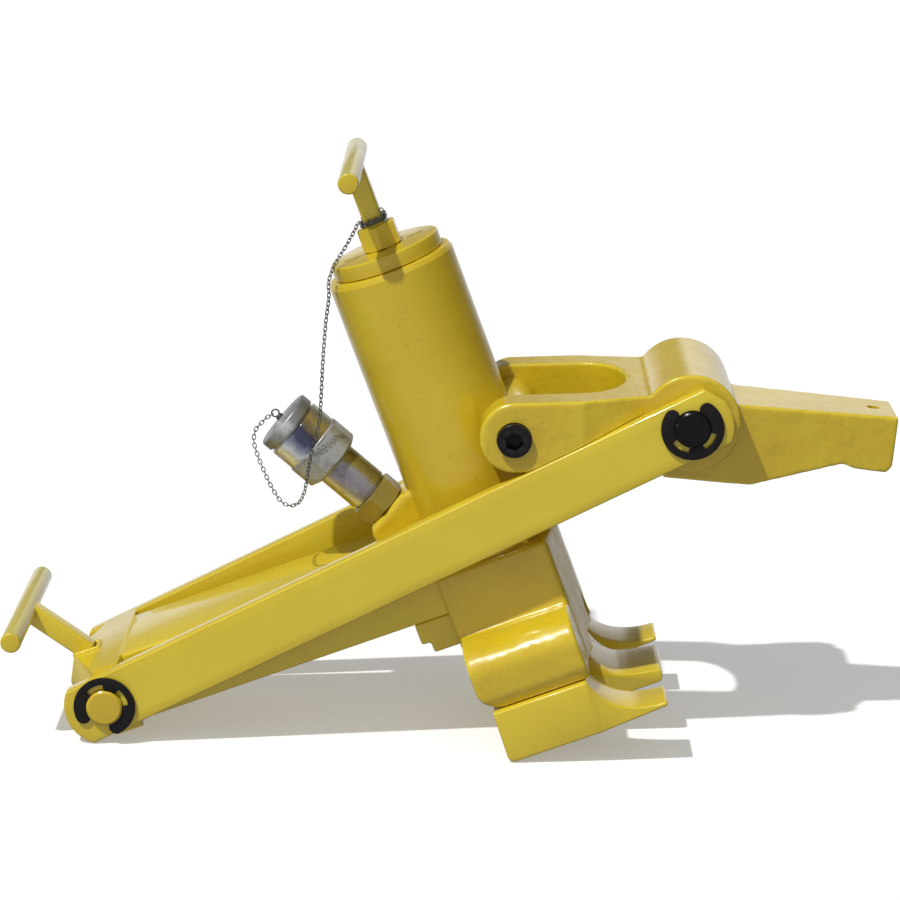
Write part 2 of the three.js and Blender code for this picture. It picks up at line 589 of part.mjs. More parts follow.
const earBores = [-1, 1].flatMap((sign) => {
  const hole = boreY(earScrew.shank + seatGap, arm.forkInner - overrun, arm.earHalf + overrun, 20);
  const sink = boreY(earScrew.headRadius + seatGap, headSeat - seatGap, arm.earHalf + overrun, 24);
  return [hole, sink].map((tool) => (sign < 0 ? tool.mirror([0, 1, 0]) : tool).translate([ear.x, 0, ear.z]));
});
const hubBore = boreY(bushRadius + seatGap, -innerHalf - overrun, innerHalf + overrun)
  .translate([frontPin.x, 0, frontPin.z]);
const barRoomRadius = cylinder.radius + crossBar.tubeRoom;
const cylinderRoom = drum(barRoomRadius, cylinder.foot, cylinder.top, 48);
add('clamp_arm', cut(
  join(cut(fork, linkRoomNear, linkRoomFar), hub, noseSolid), hubBore, cylinderRoom, ...earBores,
), yellow);
addBushes('arm_bush', frontPin, innerHalf, bush.length);

// Cross bar between the ears, hollowed to lie against the cylinder, held by a screw from each side
const barHalf = arm.forkInner - seatGap;
const screwReach = earScrew.reach;
const barTap = boreY(earScrew.shank + seatGap, screwReach - seatGap, barHalf + overrun, 20);
add('cross_bar', cut(
  boreY(crossBar.radius, -barHalf, barHalf, 32).translate([ear.x, 0, ear.z]),
  cylinderRoom, barTap.translate([ear.x, 0, ear.z]), barTap.mirror([0, 1, 0]).translate([ear.x, 0, ear.z]),
), yellow);
const headFace = arm.earHalf + earScrew.proud;
const farScrew = cut(
  turned([
    [0, screwReach], [earScrew.shank, screwReach], [earScrew.shank, headSeat],
    [earScrew.headRadius, headSeat],
    [earScrew.headRadius, headFace - earScrew.edge], [earScrew.headRadius - earScrew.edge, headFace],
    [0, headFace],
  ], 24),
  hexagon(earScrew.socketFlats, headFace - earScrew.socketDepth, headFace + overrun),
).rotate([-90, 0, 0]);
add('ear_screw_near', farScrew.mirror([0, 1, 0]).translate([ear.x, 0, ear.z]), black);
add('ear_screw_far', farScrew.translate([ear.x, 0, ear.z]), black);

// Port boss beside the cylinder, its face square to the coupler
const lean = radians(coupler.lean);
const along = [Math.cos(lean), Math.sin(lean)];
const [faceRun, faceRise] = along.map((value) => value * portBoss.faceHalf);
const faceHigh = [portBoss.faceX + faceRun, portBoss.faceZ + faceRise];
const faceLow = [portBoss.faceX - faceRun, portBoss.faceZ - faceRise];
const bossBottom = beam.top + seatGap;
const bossSide = [
  [0, bossBottom], [0, faceHigh[1]], faceHigh, faceLow,
  [faceLow[0], faceLow[1] - portBoss.rearDrop],
  [faceLow[0] + portBoss.rearDrop * portBoss.rearShare, bossBottom],
];
function placeOnCoupler(solid) {
  return solid.rotate([0, -coupler.lean, 0]).translate([portBoss.faceX, 0, portBoss.faceZ]);
}
add('port_boss', cut(
  sidePrism(bossSide, -portBoss.half, portBoss.half), tubeRoom,
  placeOnCoupler(drum(portBoss.hole, -portBoss.holeDepth, overrun, 24)),
), yellow);

// Coupler: adapter with a hexagon, nipple, dust cap and its eye, all turned about the leaning axis
const hexTop = seatGap + coupler.hexHeight;
add('coupler_adapter', placeOnCoupler(join(
  nutBody(coupler.hexFlats, coupler.hexHeight, coupler.hexEdge).translate([0, 0, seatGap]),
  drum(coupler.stub, seatGap - coupler.stubLength, seatGap + overrun, 24),
)), zinc);
const neckLow = hexTop + seatGap;
const neckHigh = neckLow + coupler.neckLength;
const ringLow = neckLow + coupler.ringFrom;
const noseHigh = neckHigh + coupler.noseLength;
add('coupler_nipple', placeOnCoupler(turned([
  [0, neckLow], [coupler.neck, neckLow], [coupler.neck, ringLow], [coupler.neck - coupler.ringDepth, ringLow],
  [coupler.neck - coupler.ringDepth, ringLow + coupler.ringWidth],
  [coupler.neck, ringLow + coupler.ringWidth],
  [coupler.neck, neckHigh], [coupler.nose, neckHigh], [coupler.nose, noseHigh - coupler.noseEdge],
  [coupler.nose - coupler.noseEdge, noseHigh], [coupler.bore, noseHigh],
  [coupler.bore, noseHigh - coupler.boreDepth],
  [0, noseHigh - coupler.boreDepth],
], 24)), zinc);
const capHigh = noseHigh + seatGap + dustCap.roof;
const capLow = capHigh - dustCap.length;
const discLow = capHigh - dustCap.discLength;
const skirtRadius = coupler.neck + seatGap;
add('dust_cap', placeOnCoupler(turned([
  [skirtRadius, capLow], [dustCap.mouth, capLow], [dustCap.radius, capLow + dustCap.chamferLength],
  [dustCap.radius, discLow - dustCap.groove], [dustCap.grooveRadius, discLow - dustCap.groove],
  [dustCap.grooveRadius, discLow], [dustCap.disc, discLow], [dustCap.disc, capHigh - dustCap.discEdge],
  [dustCap.disc - dustCap.discEdge, capHigh], [0, capHigh], [0, noseHigh + seatGap],
  [coupler.nose + seatGap, noseHigh + seatGap], [coupler.nose + seatGap, capLow + dustCap.skirtRun],
  [skirtRadius, capLow + dustCap.skirtRun],
], 24)), zinc);
const eyeSeat = capHigh + seatGap;
const eyeRingZ = eyeSeat + capEye.studHeight + capEye.ring;
const eyeRing = toSolid(new THREE.TorusGeometry(capEye.ring, capEye.wire, 5, 12).rotateX(Math.PI / 2))
  .translate([0, 0, eyeRingZ - capEye.wire / 2]);
const eyeStud = drum(capEye.stud, eyeSeat, eyeSeat + capEye.studHeight, 16);
add('cap_eye', placeOnCoupler(join(eyeStud, eyeRing)), zinc);

// Chain: every link is a closed loop of wire that bites its neighbours, so the whole chain is one body
const chainRoute = [...chainStart.map(([x, y, rise]) => [x, y, cylinder.top + rise]), ...chainDrop];
const routePoints = chainRoute.map((point) => new THREE.Vector3(...point));
const route = new THREE.CatmullRomCurve3(routePoints, false, 'centripetal');
const linkCount = Math.round(route.getLength() / chain.pitch);
const linkStep = route.getLength() / linkCount;
const linkReach = linkStep / 2 + chain.wire * chain.biteShare;
class LinkLoop extends THREE.Curve {
  getPoint(share, target = new THREE.Vector3()) {
    const angle = share * 2 * Math.PI;
    const square = (value) => Math.sign(value) * Math.sqrt(Math.abs(value));
    return target.set(linkReach * square(Math.cos(angle)), chain.half * square(Math.sin(angle)), 0);
  }
}
function ringOfWire(points, normal, radius, sides) {
  const count = points.length;
  const positions = [];
  const index = [];
  points.forEach((point, i) => {
    const ahead = points[(i + 1) % count].clone().sub(points[(i + count - 1) % count]).normalize();
    const outward = new THREE.Vector3().crossVectors(ahead, normal).normalize();
    for (let j = 0; j < sides; j += 1) {
      const angle = ((j + 0.5) * 2 * Math.PI) / sides;
      const spot = point.clone().addScaledVector(outward, radius * Math.cos(angle));
      spot.addScaledVector(normal, radius * Math.sin(angle));
      positions.push(spot.x, spot.y, spot.z);
      const [a, b] = [i * sides + j, i * sides + ((j + 1) % sides)];
      const [c, d] = [((i + 1) % count) * sides + j, ((i + 1) % count) * sides + ((j + 1) % sides)];
      index.push(a, c, b, b, c, d);
    }
  });
  const geometry = new THREE.BufferGeometry();
  geometry.setAttribute('position', new THREE.Float32BufferAttribute(positions, 3));
  geometry.setIndex(index);
  return toSolid(geometry);
}
const loopShares = [0, 0.12, 0.38, 0.5, 0.62, 0.88];
const loopPoints = loopShares.map((share) => new LinkLoop().getPoint(share));
const chainLinks = Array.from({ length: linkCount }, (_, i) => {
  const share = (i + 0.5) / linkCount;
  const centre = route.getPointAt(share);
  const ahead = route.getTangentAt(share);
  const side = new THREE.Vector3(0, 0, 1).cross(ahead).normalize();
  const up = new THREE.Vector3().crossVectors(ahead, side).normalize();
  const [wide, flat] = i % 2 ? [side, up] : [up, side.clone().negate()];
  const points = loopPoints.map(
    ({ x, y }) => centre.clone().addScaledVector(ahead, x).addScaledVector(wide, y),
  );
  return ringOfWire(points, flat, chain.wire, 3);
});
const collarZ = cylinder.top + chain.collarRise;
const collarPoints = Array.from({ length: 14 }, (_, i) => {
  const angle = (i * 2 * Math.PI) / 14;
  return new THREE.Vector3(chain.collar * Math.cos(angle), chain.collar * Math.sin(angle), collarZ);
});
const collar = ringOfWire(collarPoints, new THREE.Vector3(0, 0, 1), chain.wire, 3);
add('chain', join(collar, ...chainLinks), steel);

// The tool stands leaned back: its links' lower rear corners and its claws' heels share the floor
const endCorner = Math.PI + linkCorner + linkAngle;
const linkToe = {
  x: rearPin.x + link.endRadius * Math.cos(endCorner), z: rearPin.z + link.endRadius * Math.sin(endCorner),
};
const clawHeel = { x: claw.back + claw.heelBevel, z: claw.sole };
model.rotation.y = -Math.atan2(linkToe.z - clawHeel.z, clawHeel.x - linkToe.x);
model.updateMatrixWorld(true);
const bounds = new THREE.Box3().setFromObject(model, true);
const middle = bounds.getCenter(new THREE.Vector3());
model.position.set(-middle.x, -middle.y, -bounds.min.z);

const tool = new THREE.Group();
tool.add(model);
tool.updateMatrixWorld(true);

export default tool;
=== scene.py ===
# %% [markdown]
# # A hydraulic tyre bead breaker
#
# The real tool is a heavy welded steel frame, sprayed yellow after it was put together. This lesson
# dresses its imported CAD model: the CAD keeps the sizes and the joints, and each visible part gets a
# smoother piece with eased edges, weld beads and real finishes. Sizes are in millimetres, drawn with
# the cylinder upright, and one matrix leans every finished mesh back to where the model stands.

import math

import bmesh
import bpy
from mathutils import Matrix, Vector


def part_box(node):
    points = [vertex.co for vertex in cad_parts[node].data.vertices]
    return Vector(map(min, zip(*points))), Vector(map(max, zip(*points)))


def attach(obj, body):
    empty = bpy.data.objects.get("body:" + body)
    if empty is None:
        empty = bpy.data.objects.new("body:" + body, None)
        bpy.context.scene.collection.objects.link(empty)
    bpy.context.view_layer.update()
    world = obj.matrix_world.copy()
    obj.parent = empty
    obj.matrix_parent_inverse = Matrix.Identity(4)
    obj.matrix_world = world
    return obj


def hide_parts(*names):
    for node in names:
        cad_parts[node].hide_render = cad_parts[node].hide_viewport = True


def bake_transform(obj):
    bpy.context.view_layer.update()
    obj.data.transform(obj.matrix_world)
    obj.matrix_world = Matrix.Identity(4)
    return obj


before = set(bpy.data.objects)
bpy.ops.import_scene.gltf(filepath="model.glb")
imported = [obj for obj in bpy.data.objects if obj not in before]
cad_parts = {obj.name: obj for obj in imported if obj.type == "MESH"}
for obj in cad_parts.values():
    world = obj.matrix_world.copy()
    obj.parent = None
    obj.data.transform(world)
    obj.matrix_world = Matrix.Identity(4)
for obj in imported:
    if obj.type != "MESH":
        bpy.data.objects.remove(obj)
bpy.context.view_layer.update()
scene = bpy.context.scene

# %% [markdown]
# ## From the upright drawing to the leaning tool
#
# The tool rests on the rear ends of its links and the heels of its claws, so it leans back. Both pins
# are known in the drawing and in the CAD model, and the lean is measured from them.

# %% The leaning matrix
REAR_PIN = Vector((-220.2, 0, 0))
FRONT_PIN = Vector((122.4, 0, 38))


def node_middle(node):
    low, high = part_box(node)
    return (low + high) / 2


def slope(start, end):
    return math.atan2(end.z - start.z, end.x - start.x)


rear_at, front_at = node_middle("pin_rear"), node_middle("pin_front")
tool_lean = slope(rear_at, front_at) - slope(REAR_PIN, FRONT_PIN)
LEAN = Matrix.Rotation(-tool_lean, 4, "Y")
TO_ROW = Matrix.Translation(rear_at) @ LEAN @ Matrix.Scale(0.001, 4) @ Matrix.Translation(-REAR_PIN)
print("lean", round(math.degrees(tool_lean), 3), "pin error", (TO_ROW @ FRONT_PIN - front_at).length)

# %% [markdown]
# ## Camera
#
# The camera's place and turn were fitted to edges measured in the photograph, in the upright
# drawing's axes. They become a camera matrix whose columns are right, up and backwards.

# %% Camera
EYE = Vector((151.52, -1558.04, 442.42))
AHEAD = Vector((-0.09708, 0.96605, -0.23941))
RIGHT = Vector((0.93947, 0.00952, -0.34250))
DOWN = Vector((-0.32859, -0.25817, -0.90850))
FOCAL_PIXELS = 3000.8
FRAME_PIXELS = 900

camera_data = bpy.data.cameras.new("photo_camera")
camera_data.sensor_width = 36
camera_data.lens = FOCAL_PIXELS * camera_data.sensor_width / FRAME_PIXELS
camera_data.clip_end = 30
camera = bpy.data.objects.new("photo_camera", camera_data)
scene.collection.objects.link(camera)
turn = Matrix((RIGHT, -DOWN, -AHEAD)).transposed().to_4x4()
camera.matrix_world = Matrix.Translation(TO_ROW @ EYE) @ LEAN @ turn
scene.camera = camera
print("camera at", [round(value, 3) for value in camera.matrix_world.translation])

# %% [markdown]
# ## Helpers for meshes and node trees
#
# A mesh is made from points and faces, a modifier or a node tree changes it, and its evaluated result
# becomes the object's plain mesh. That keeps every finished piece free of live modifiers.


# %% Meshes
def mesh_object(name, points, faces=(), edges=()):
    mesh = bpy.data.meshes.new(name)
    mesh.from_pydata([tuple(point) for point in points], list(edges), list(faces))
    mesh.update()
    made = bpy.data.objects.new(name, mesh)
    scene.collection.objects.link(made)
    return made


def settle(made):
    """The evaluated result of made's modifiers becomes its mesh."""
    depsgraph = bpy.context.evaluated_depsgraph_get()
    mesh = bpy.data.meshes.new_from_object(made.evaluated_get(depsgraph), depsgraph=depsgraph)
    made.modifiers.clear()
    made.data = mesh
    return made


def face_outwards(made, seam=0.0005):
    """Points closer than seam become one, and faces are turned outwards."""
    shell = bmesh.new()
    shell.from_mesh(made.data)
    bmesh.ops.remove_doubles(shell, verts=shell.verts, dist=seam)
    bmesh.ops.recalc_face_normals(shell, faces=shell.faces)
    shell.to_mesh(made.data)
    shell.free()
    return made


# %% Outlines and solids
def rounded(corners, closed=True, steps=4):
    """The corners (x, z, radius) as points, each with a radius drawn as an arc."""
    points = []
    for index, corner in enumerate(corners):
        here = Vector(corner[:2])
        radius = corner[2] if len(corner) > 2 else 0
        if not radius or (not closed and index in (0, len(corners) - 1)):
            points.append(tuple(here))
            continue
        back = Vector(corners[index - 1][:2]) - here
        ahead = Vector(corners[(index + 1) % len(corners)][:2]) - here
        half = back.angle(ahead) / 2
        reach = min(radius / math.tan(half), 0.49 * back.length, 0.49 * ahead.length)
        middle = here + (back.normalized() + ahead.normalized()).normalized() * (reach / math.cos(half))
        first, last = here + back.normalized() * reach - middle, here + ahead.normalized() * reach - middle
        sweep = first.angle(last)
        for step in range(steps + 1):
            share = step / steps
            mixed = first * math.sin((1 - share) * sweep) + last * math.sin(share * sweep)
            points.append(tuple(middle + mixed / math.sin(sweep)))
    return points


def arc(middle, radius, first, last, steps=24):
    angles = [math.radians(first + (last - first) * step / steps) for step in range(steps + 1)]
    return [(middle[0] + radius * math.cos(angle), middle[1] + radius * math.sin(angle)) for angle in angles]


def curved(first, lean_out, lean_in, last, steps=20):
    """A cubic curve from first to last, without its first point."""
    controls = [Vector(point) for point in (first, lean_out, lean_in, last)]
    points = []
    for step in range(1, steps + 1):
        share = step / steps
        weights = ((1 - share) ** 3, 3 * share * (1 - share) ** 2, 3 * share**2 * (1 - share), share**3)
        weighted = [point * weight for point, weight in zip(controls, weights)]
        points.append(tuple(sum(weighted, Vector((0, 0)))))
    return points


def pushed(name, outline, low, high, place):
    """An outline pushed from low to high. place turns (u, v, w) into a point."""
    count = len(outline)
    points = [place(u, v, low) for u, v in outline] + [place(u, v, high) for u, v in outline]
    faces = [tuple(range(count)), tuple(range(2 * count - 1, count - 1, -1))]
    faces += [(i, i + count, (i + 1) % count + count, (i + 1) % count) for i in range(count)]
    return face_outwards(mesh_object(name, points, faces))


def side_solid(name, outline, near, far):
    return pushed(name, outline, near, far, lambda u, v, w: (u, w, v))


def plan_solid(name, outline, low, high):
    return pushed(name, outline, low, high, lambda u, v, w: (u, v, w))


def cross_solid(name, outline, back, front):
    return pushed(name, outline, back, front, lambda u, v, w: (w, u, v))


def both_sides(edge):
    """The outline of a part that is alike on both sides of the middle plane."""
    return [(x, -y) for x, y in edge] + edge[::-1]


def block(name, x, y, z):
    return plan_solid(name, [(x[0], y[0]), (x[1], y[0]), (x[1], y[1]), (x[0], y[1])], z[0], z[1])


# %% Joining, cutting, easing and casting
def combine(made, mode, tools):
    for tool in tools:
        change = made.modifiers.new("combine", "BOOLEAN")
        change.object, change.operation, change.solver = tool, mode, "EXACT"
    settle(made)
    for tool in tools:
        bpy.data.objects.remove(tool)
    return made


def cut(made, *tools):
    return combine(made, "DIFFERENCE", tools)


def joined(made, *others):
    return combine(made, "UNION", others)


def common(made, *others):
    return combine(made, "INTERSECT", others)


def eased(made, width, steps=3, angle=40):
    """Edges sharper than angle are rounded, as thick paint rounds them."""
    change = made.modifiers.new("eased", "BEVEL")
    change.width, change.segments = width, steps
    change.limit_method, change.angle_limit = "ANGLE", math.radians(angle)
    change.use_clamp_overlap = True
    return settle(made)


def cast(made, grain, passes):
    """A skin of small even faces, smoothed until corners and junctions flow as in a casting."""
    skin = made.modifiers.new("skin", "REMESH")
    skin.mode, skin.voxel_size, skin.use_smooth_shade = "VOXEL", grain, True
    soft = made.modifiers.new("soft", "SMOOTH")
    soft.factor, soft.iterations = 0.5, passes
    return settle(made)


def moved(made, matrix):
    made.data.transform(matrix)
    return made


def place_at(point, degrees=0.0):
    """Turned about the Y axis, then moved to point."""
    return Matrix.Translation(point) @ Matrix.Rotation(math.radians(degrees), 4, "Y")


ALONG_Y = Matrix.Rotation(math.radians(-90), 4, "X")
ALONG_X = Matrix.Rotation(math.radians(90), 4, "Y")
FAR_SIDE = Matrix.Scale(-1, 4, (0, 1, 0))


# %% Node trees
class Tree:
    """A node tree and the moves that every tree here is made of. A node stands for its first output."""

    def __init__(self, tree):
        self.tree = tree

    def feed(self, node, inputs):
        """Each socket is set to its value, or linked to the node or socket given for it."""
        for key, value in inputs.items():
            if isinstance(value, bpy.types.Node):
                value = value.outputs[0]
            if isinstance(value, bpy.types.NodeSocket):
                self.tree.links.new(value, node.inputs[key])
            else:
                node.inputs[key].default_value = value

    def node(self, kind, inputs=None, **settings):
        made = self.tree.nodes.new(kind)
        for key, value in settings.items():
            setattr(made, key, value)
        self.feed(made, inputs or {})
        return made

    def maths(self, operation, *values):
        return self.node("ShaderNodeMath", dict(enumerate(values)), operation=operation)

    def spread(self, value, low, high, start=0.3, end=0.7):
        """A value between start and end, carried to a number between low and high."""
        return self.node("ShaderNodeMapRange", {0: value, 1: start, 2: end, 3: low, 4: high})


class Grower(Tree):
    """Geometry nodes with named inputs, which end in real faces with a finish on them."""

    def __init__(self, name, sockets):
        super().__init__(bpy.data.node_groups.new(name, "GeometryNodeTree"))
        face = self.tree.interface
        face.new_socket("Geometry", in_out="OUTPUT", socket_type="NodeSocketGeometry")
        for label, kind, value in [("Geometry", "Geometry", None), *sockets, ("Finish", "Material", None)]:
            socket = face.new_socket(label, in_out="INPUT", socket_type="NodeSocket" + kind)
            if value is not None:
                socket.default_value = value
        self.given = self.tree.nodes.new("NodeGroupInput").outputs

    def end(self, geometry):
        real = self.node("GeometryNodeRealizeInstances", {"Geometry": geometry})
        coated = self.node("GeometryNodeSetMaterial", {"Geometry": real, "Material": self.given["Finish"]})
        self.feed(self.tree.nodes.new("NodeGroupOutput"), {0: coated})
        print(self.tree.name, len(self.tree.nodes), "nodes")


def grown(made, grower, values):
    """The tree is run on made with its named inputs, and leaves a plain mesh."""
    change = made.modifiers.new("grown", "NODES")
    change.node_group = grower.tree
    for item in grower.tree.interface.items_tree:
        if item.item_type == "SOCKET" and item.in_out == "INPUT" and item.name in values:
            change[item.identifier] = values[item.name]
    return settle(made)


# %% [markdown]
# ## Chain
#
# The dust cap hangs on a light chain of bent wire links. It leaves the foot of the upper handle, falls
# over the cylinder's edge and past the dust cap, and climbs to the eye on the cap's end. A node tree
# walks along the route and sets one closed wire link at each pitch, every second one turned a quarter.
# Where the chain falls free, the route's points are the CAD model's own. Its first ones lie closer to
# the handle's foot, and its last one carries it into the eye.

# %% The chain's route
CHAIN_ROUTE = [
    (-7.9, -4.5, 189.6), (-12.2, -9, 185.8), (-18.3, -13.5, 181), (-25.4, -18, 175.6),
    (-31.2, -20, 168.8), (-34.6, -20, 160), (-40, -20, 149.7), (-49.2, -20, 130),
    (-57.6, -20, 110.6), (-61.8, -20, 101.4), (-67.4, -20.2, 92.6), (-73.9, -20.6, 83),
    (-80.2, -20.2, 72), (-84.6, -18.5, 65), (-89.3, -16.5, 60.6), (-94.3, -14.5, 59.9),
    (-98.4, -12.5, 63), (-100.9, -10.5, 72), (-101.9, -8.5, 82), (-102.3, -6.5, 91),
    (-101.5, -4.5, 98.4), (-98.6, -2.5, 103.1), (-95, -1, 105), (-91.6, 0, 106.5), (-88.4, 0, 107.2),
]


def smooth_line(points, steps=12):
    """A curve through all points, with its speed set by the root of their distance."""
    knots = [Vector(point) for point in points]
    knots = [2 * knots[0] - knots[1]] + knots + [2 * knots[-1] - knots[-2]]
    line = [knots[1]]
    for a, b, c, d in zip(knots, knots[1:], knots[2:], knots[3:]):
        t1 = (b - a).length ** 0.5
        t2 = t1 + (c - b).length ** 0.5
        t3 = t2 + (d - c).length ** 0.5
        for step in range(1, steps + 1):
            t = t1 + (t2 - t1) * step / steps
            ab, bc, cd = a.lerp(b, t / t1), b.lerp(c, (t - t1) / (t2 - t1)), c.lerp(d, (t - t2) / (t3 - t2))
            line.append(ab.lerp(bc, t / t2).lerp(bc.lerp(cd, (t - t1) / (t3 - t1)), (t - t1) / (t2 - t1)))
    return line


def line_length(line):
    return sum((b - a).length for a, b in zip(line, line[1:]))


def line_object(name, line):
    return mesh_object(name, line, edges=[(i, i + 1) for i in range(len(line) - 1)])


chain_line = smooth_line(CHAIN_ROUTE)
chain_length = line_length(chain_line)
print("chain length", round(chain_length, 1), "mm")

# %% The chain's node tree
chain_tree = Grower("links_along_a_route", [
    ("Pitch", "Float", 2.25), ("Link length", "Float", 3.5), ("Link width", "Float", 2.3),
    ("Wire", "Float", 0.55)])
given, node, maths = chain_tree.given, chain_tree.node, chain_tree.maths
loop_long = maths("SUBTRACT", given["Link length"], given["Wire"])
loop_wide = maths("SUBTRACT", given["Link width"], given["Wire"])
loop = node("GeometryNodeCurvePrimitiveQuadrilateral", {"Width": loop_wide, "Height": loop_long})
bent = node("GeometryNodeFilletCurve", {
    "Curve": loop, "Radius": maths("MULTIPLY", loop_wide, 0.49), "Count": 4}, mode="POLY")
half_wire = maths("MULTIPLY", given["Wire"], 0.5)
section = node("GeometryNodeCurvePrimitiveCircle", {"Resolution": 7, "Radius": half_wire})
wire = node("GeometryNodeCurveToMesh", {"Curve": bent, "Profile Curve": section})
stand = node("GeometryNodeTransform", {"Geometry": wire, "Rotation": (math.radians(90), 0, 0)})
route = node("GeometryNodeMeshToCurve", {"Mesh": given["Geometry"]})
spots = node("GeometryNodeCurveToPoints", {"Curve": route, "Length": given["Pitch"]}, mode="LENGTH")
quarter = maths("MULTIPLY", maths("MODULO", node("GeometryNodeInputIndex"), 2.0), math.pi / 2)
roll = node("FunctionNodeAxisAngleToRotation", {"Axis": (0, 0, 1), "Angle": quarter})
turned_link = node("FunctionNodeRotateRotation", {
    "Rotation": spots.outputs["Rotation"], "Rotate By": roll}, rotation_space="LOCAL")
chain_tree.end(node("GeometryNodeInstanceOnPoints", {
    "Points": spots.outputs["Points"], "Instance": stand, "Rotation": turned_link}))

# %% [markdown]
# ## Turned parts
#
# The cylinder, its cap, the pins, the handle bars and the coupler's parts all came off a lathe: each
# is one profile swept round an axis. A node tree does the same. It lays a grid with one row for each
# point of the profile, wraps the rows round the axis, and merges the seam and the poles.

# %% The lathe's node tree
lathe_tree = Grower("turned_round_an_axis", [("Sides", "Int", 96), ("Seam", "Float", 0.001)])
given, node, maths = lathe_tree.given, lathe_tree.node, lathe_tree.maths
rows = node("GeometryNodeAttributeDomainSize", {0: given["Geometry"]}).outputs["Point Count"]
columns = maths("ADD", given["Sides"], 1.0)
sheet = node("GeometryNodeMeshGrid", {
    "Size X": 1.0, "Size Y": 1.0, "Vertices X": rows, "Vertices Y": columns})
grid_spot = node("GeometryNodeInputPosition")
grid_parts = node("ShaderNodeSeparateXYZ", {0: grid_spot}).outputs
row_share = maths("ADD", grid_parts["X"], 0.5)
row = maths("ROUND", maths("MULTIPLY", row_share, maths("SUBTRACT", rows, 1.0)))
sample = node("GeometryNodeSampleIndex", {0: given["Geometry"], "Value": grid_spot, "Index": row},
              data_type="FLOAT_VECTOR", domain="POINT")
profile = node("ShaderNodeSeparateXYZ", {0: sample}).outputs
round_angle = maths("MULTIPLY", maths("ADD", grid_parts["Y"], 0.5), 2 * math.pi)
across = maths("MULTIPLY", profile["X"], maths("COSINE", round_angle))
deep = maths("MULTIPLY", profile["X"], maths("SINE", round_angle))
wrapped_spot = node("ShaderNodeCombineXYZ", {0: across, 1: deep, 2: profile["Z"]})
wrapped = node("GeometryNodeSetPosition", {"Geometry": sheet, "Position": wrapped_spot})
lathe_tree.end(node("GeometryNodeMergeByDistance", {"Geometry": wrapped, "Distance": given["Seam"]}))


def turned(name, profile, sides=96, ring=False):
    """A profile of (radius, height, rounding) corners. A ring's profile closes on itself."""
    points = rounded(profile, closed=ring)
    if ring:
        points.append(points[0])
    made = line_object(name, [(radius, 0, height) for radius, height in points])
    return face_outwards(grown(made, lathe_tree, {"Sides": sides}))


def drum(name, radius, low, high, sides=96):
    return turned(name, [(0, low), (radius, low), (radius, high), (0, high)], sides)


def lying(made, at):
    """A turned piece laid along Y, through at."""
    return moved(made, Matrix.Translation(at) @ ALONG_Y)


def drum_y(name, radius, near, far, at, sides=96):
    return lying(drum(name, radius, near, far, sides), at)


def bar_y(name, radius, half, edge, at, sides=96):
    corners = [(0, -half), (radius, -half, edge), (radius, half, edge), (0, half)]
    return lying(turned(name, corners, sides), at)


# %% [markdown]
# ## Weld beads
#
# The frame is welded, and the paint lies over the beads. A bead follows a seam and carries a ripple
# for each dip of the torch. A node tree walks the seam, swells a round section once for each ripple,
# and lets a seeded random number vary ripple and place a little, as a hand does.

# %% The weld's node tree
weld_tree = Grower("weld_along_a_seam", [
    ("Bead", "Float", 2.2), ("Ripple", "Float", 2.4), ("Wander", "Float", 0.25), ("Seed", "Int", 7)])
given, node, maths = weld_tree.given, weld_tree.node, weld_tree.maths
seam = node("GeometryNodeMeshToCurve", {"Mesh": given["Geometry"]})
fine = node("GeometryNodeResampleCurve", {"Curve": seam, "Length": 0.4}, mode="LENGTH")
run = node("GeometryNodeSplineParameter").outputs["Length"]
ripples = maths("DIVIDE", run, given["Ripple"])
uneven = node("FunctionNodeRandomValue", {"ID": maths("FLOOR", ripples), "Seed": given["Seed"]},
              data_type="FLOAT")
swell = maths("SQRT", maths("FRACT", ripples))
body_share = maths("ADD", 0.72, maths("MULTIPLY", swell, 0.2))
mixed_share = maths("ADD", body_share, maths("MULTIPLY", uneven.outputs[1], 0.12))
drift = node("ShaderNodeTexNoise", {"Scale": 0.22, "Detail": 1.0}).outputs["Color"]
centred = node("ShaderNodeVectorMath", {0: drift, 1: (0.5, 0.5, 0.5)}, operation="SUBTRACT")
offset = node("ShaderNodeVectorMath", {0: centred, "Scale": given["Wander"]}, operation="SCALE")
wandered = node("GeometryNodeSetPosition", {"Geometry": fine, "Offset": offset})
section = node("GeometryNodeCurvePrimitiveCircle", {"Resolution": 12, "Radius": 1.0})
weld_tree.end(node("GeometryNodeCurveToMesh", {
    "Curve": wandered, "Profile Curve": section, "Scale": maths("MULTIPLY", mixed_share, given["Bead"]),
    "Fill Caps": True}))
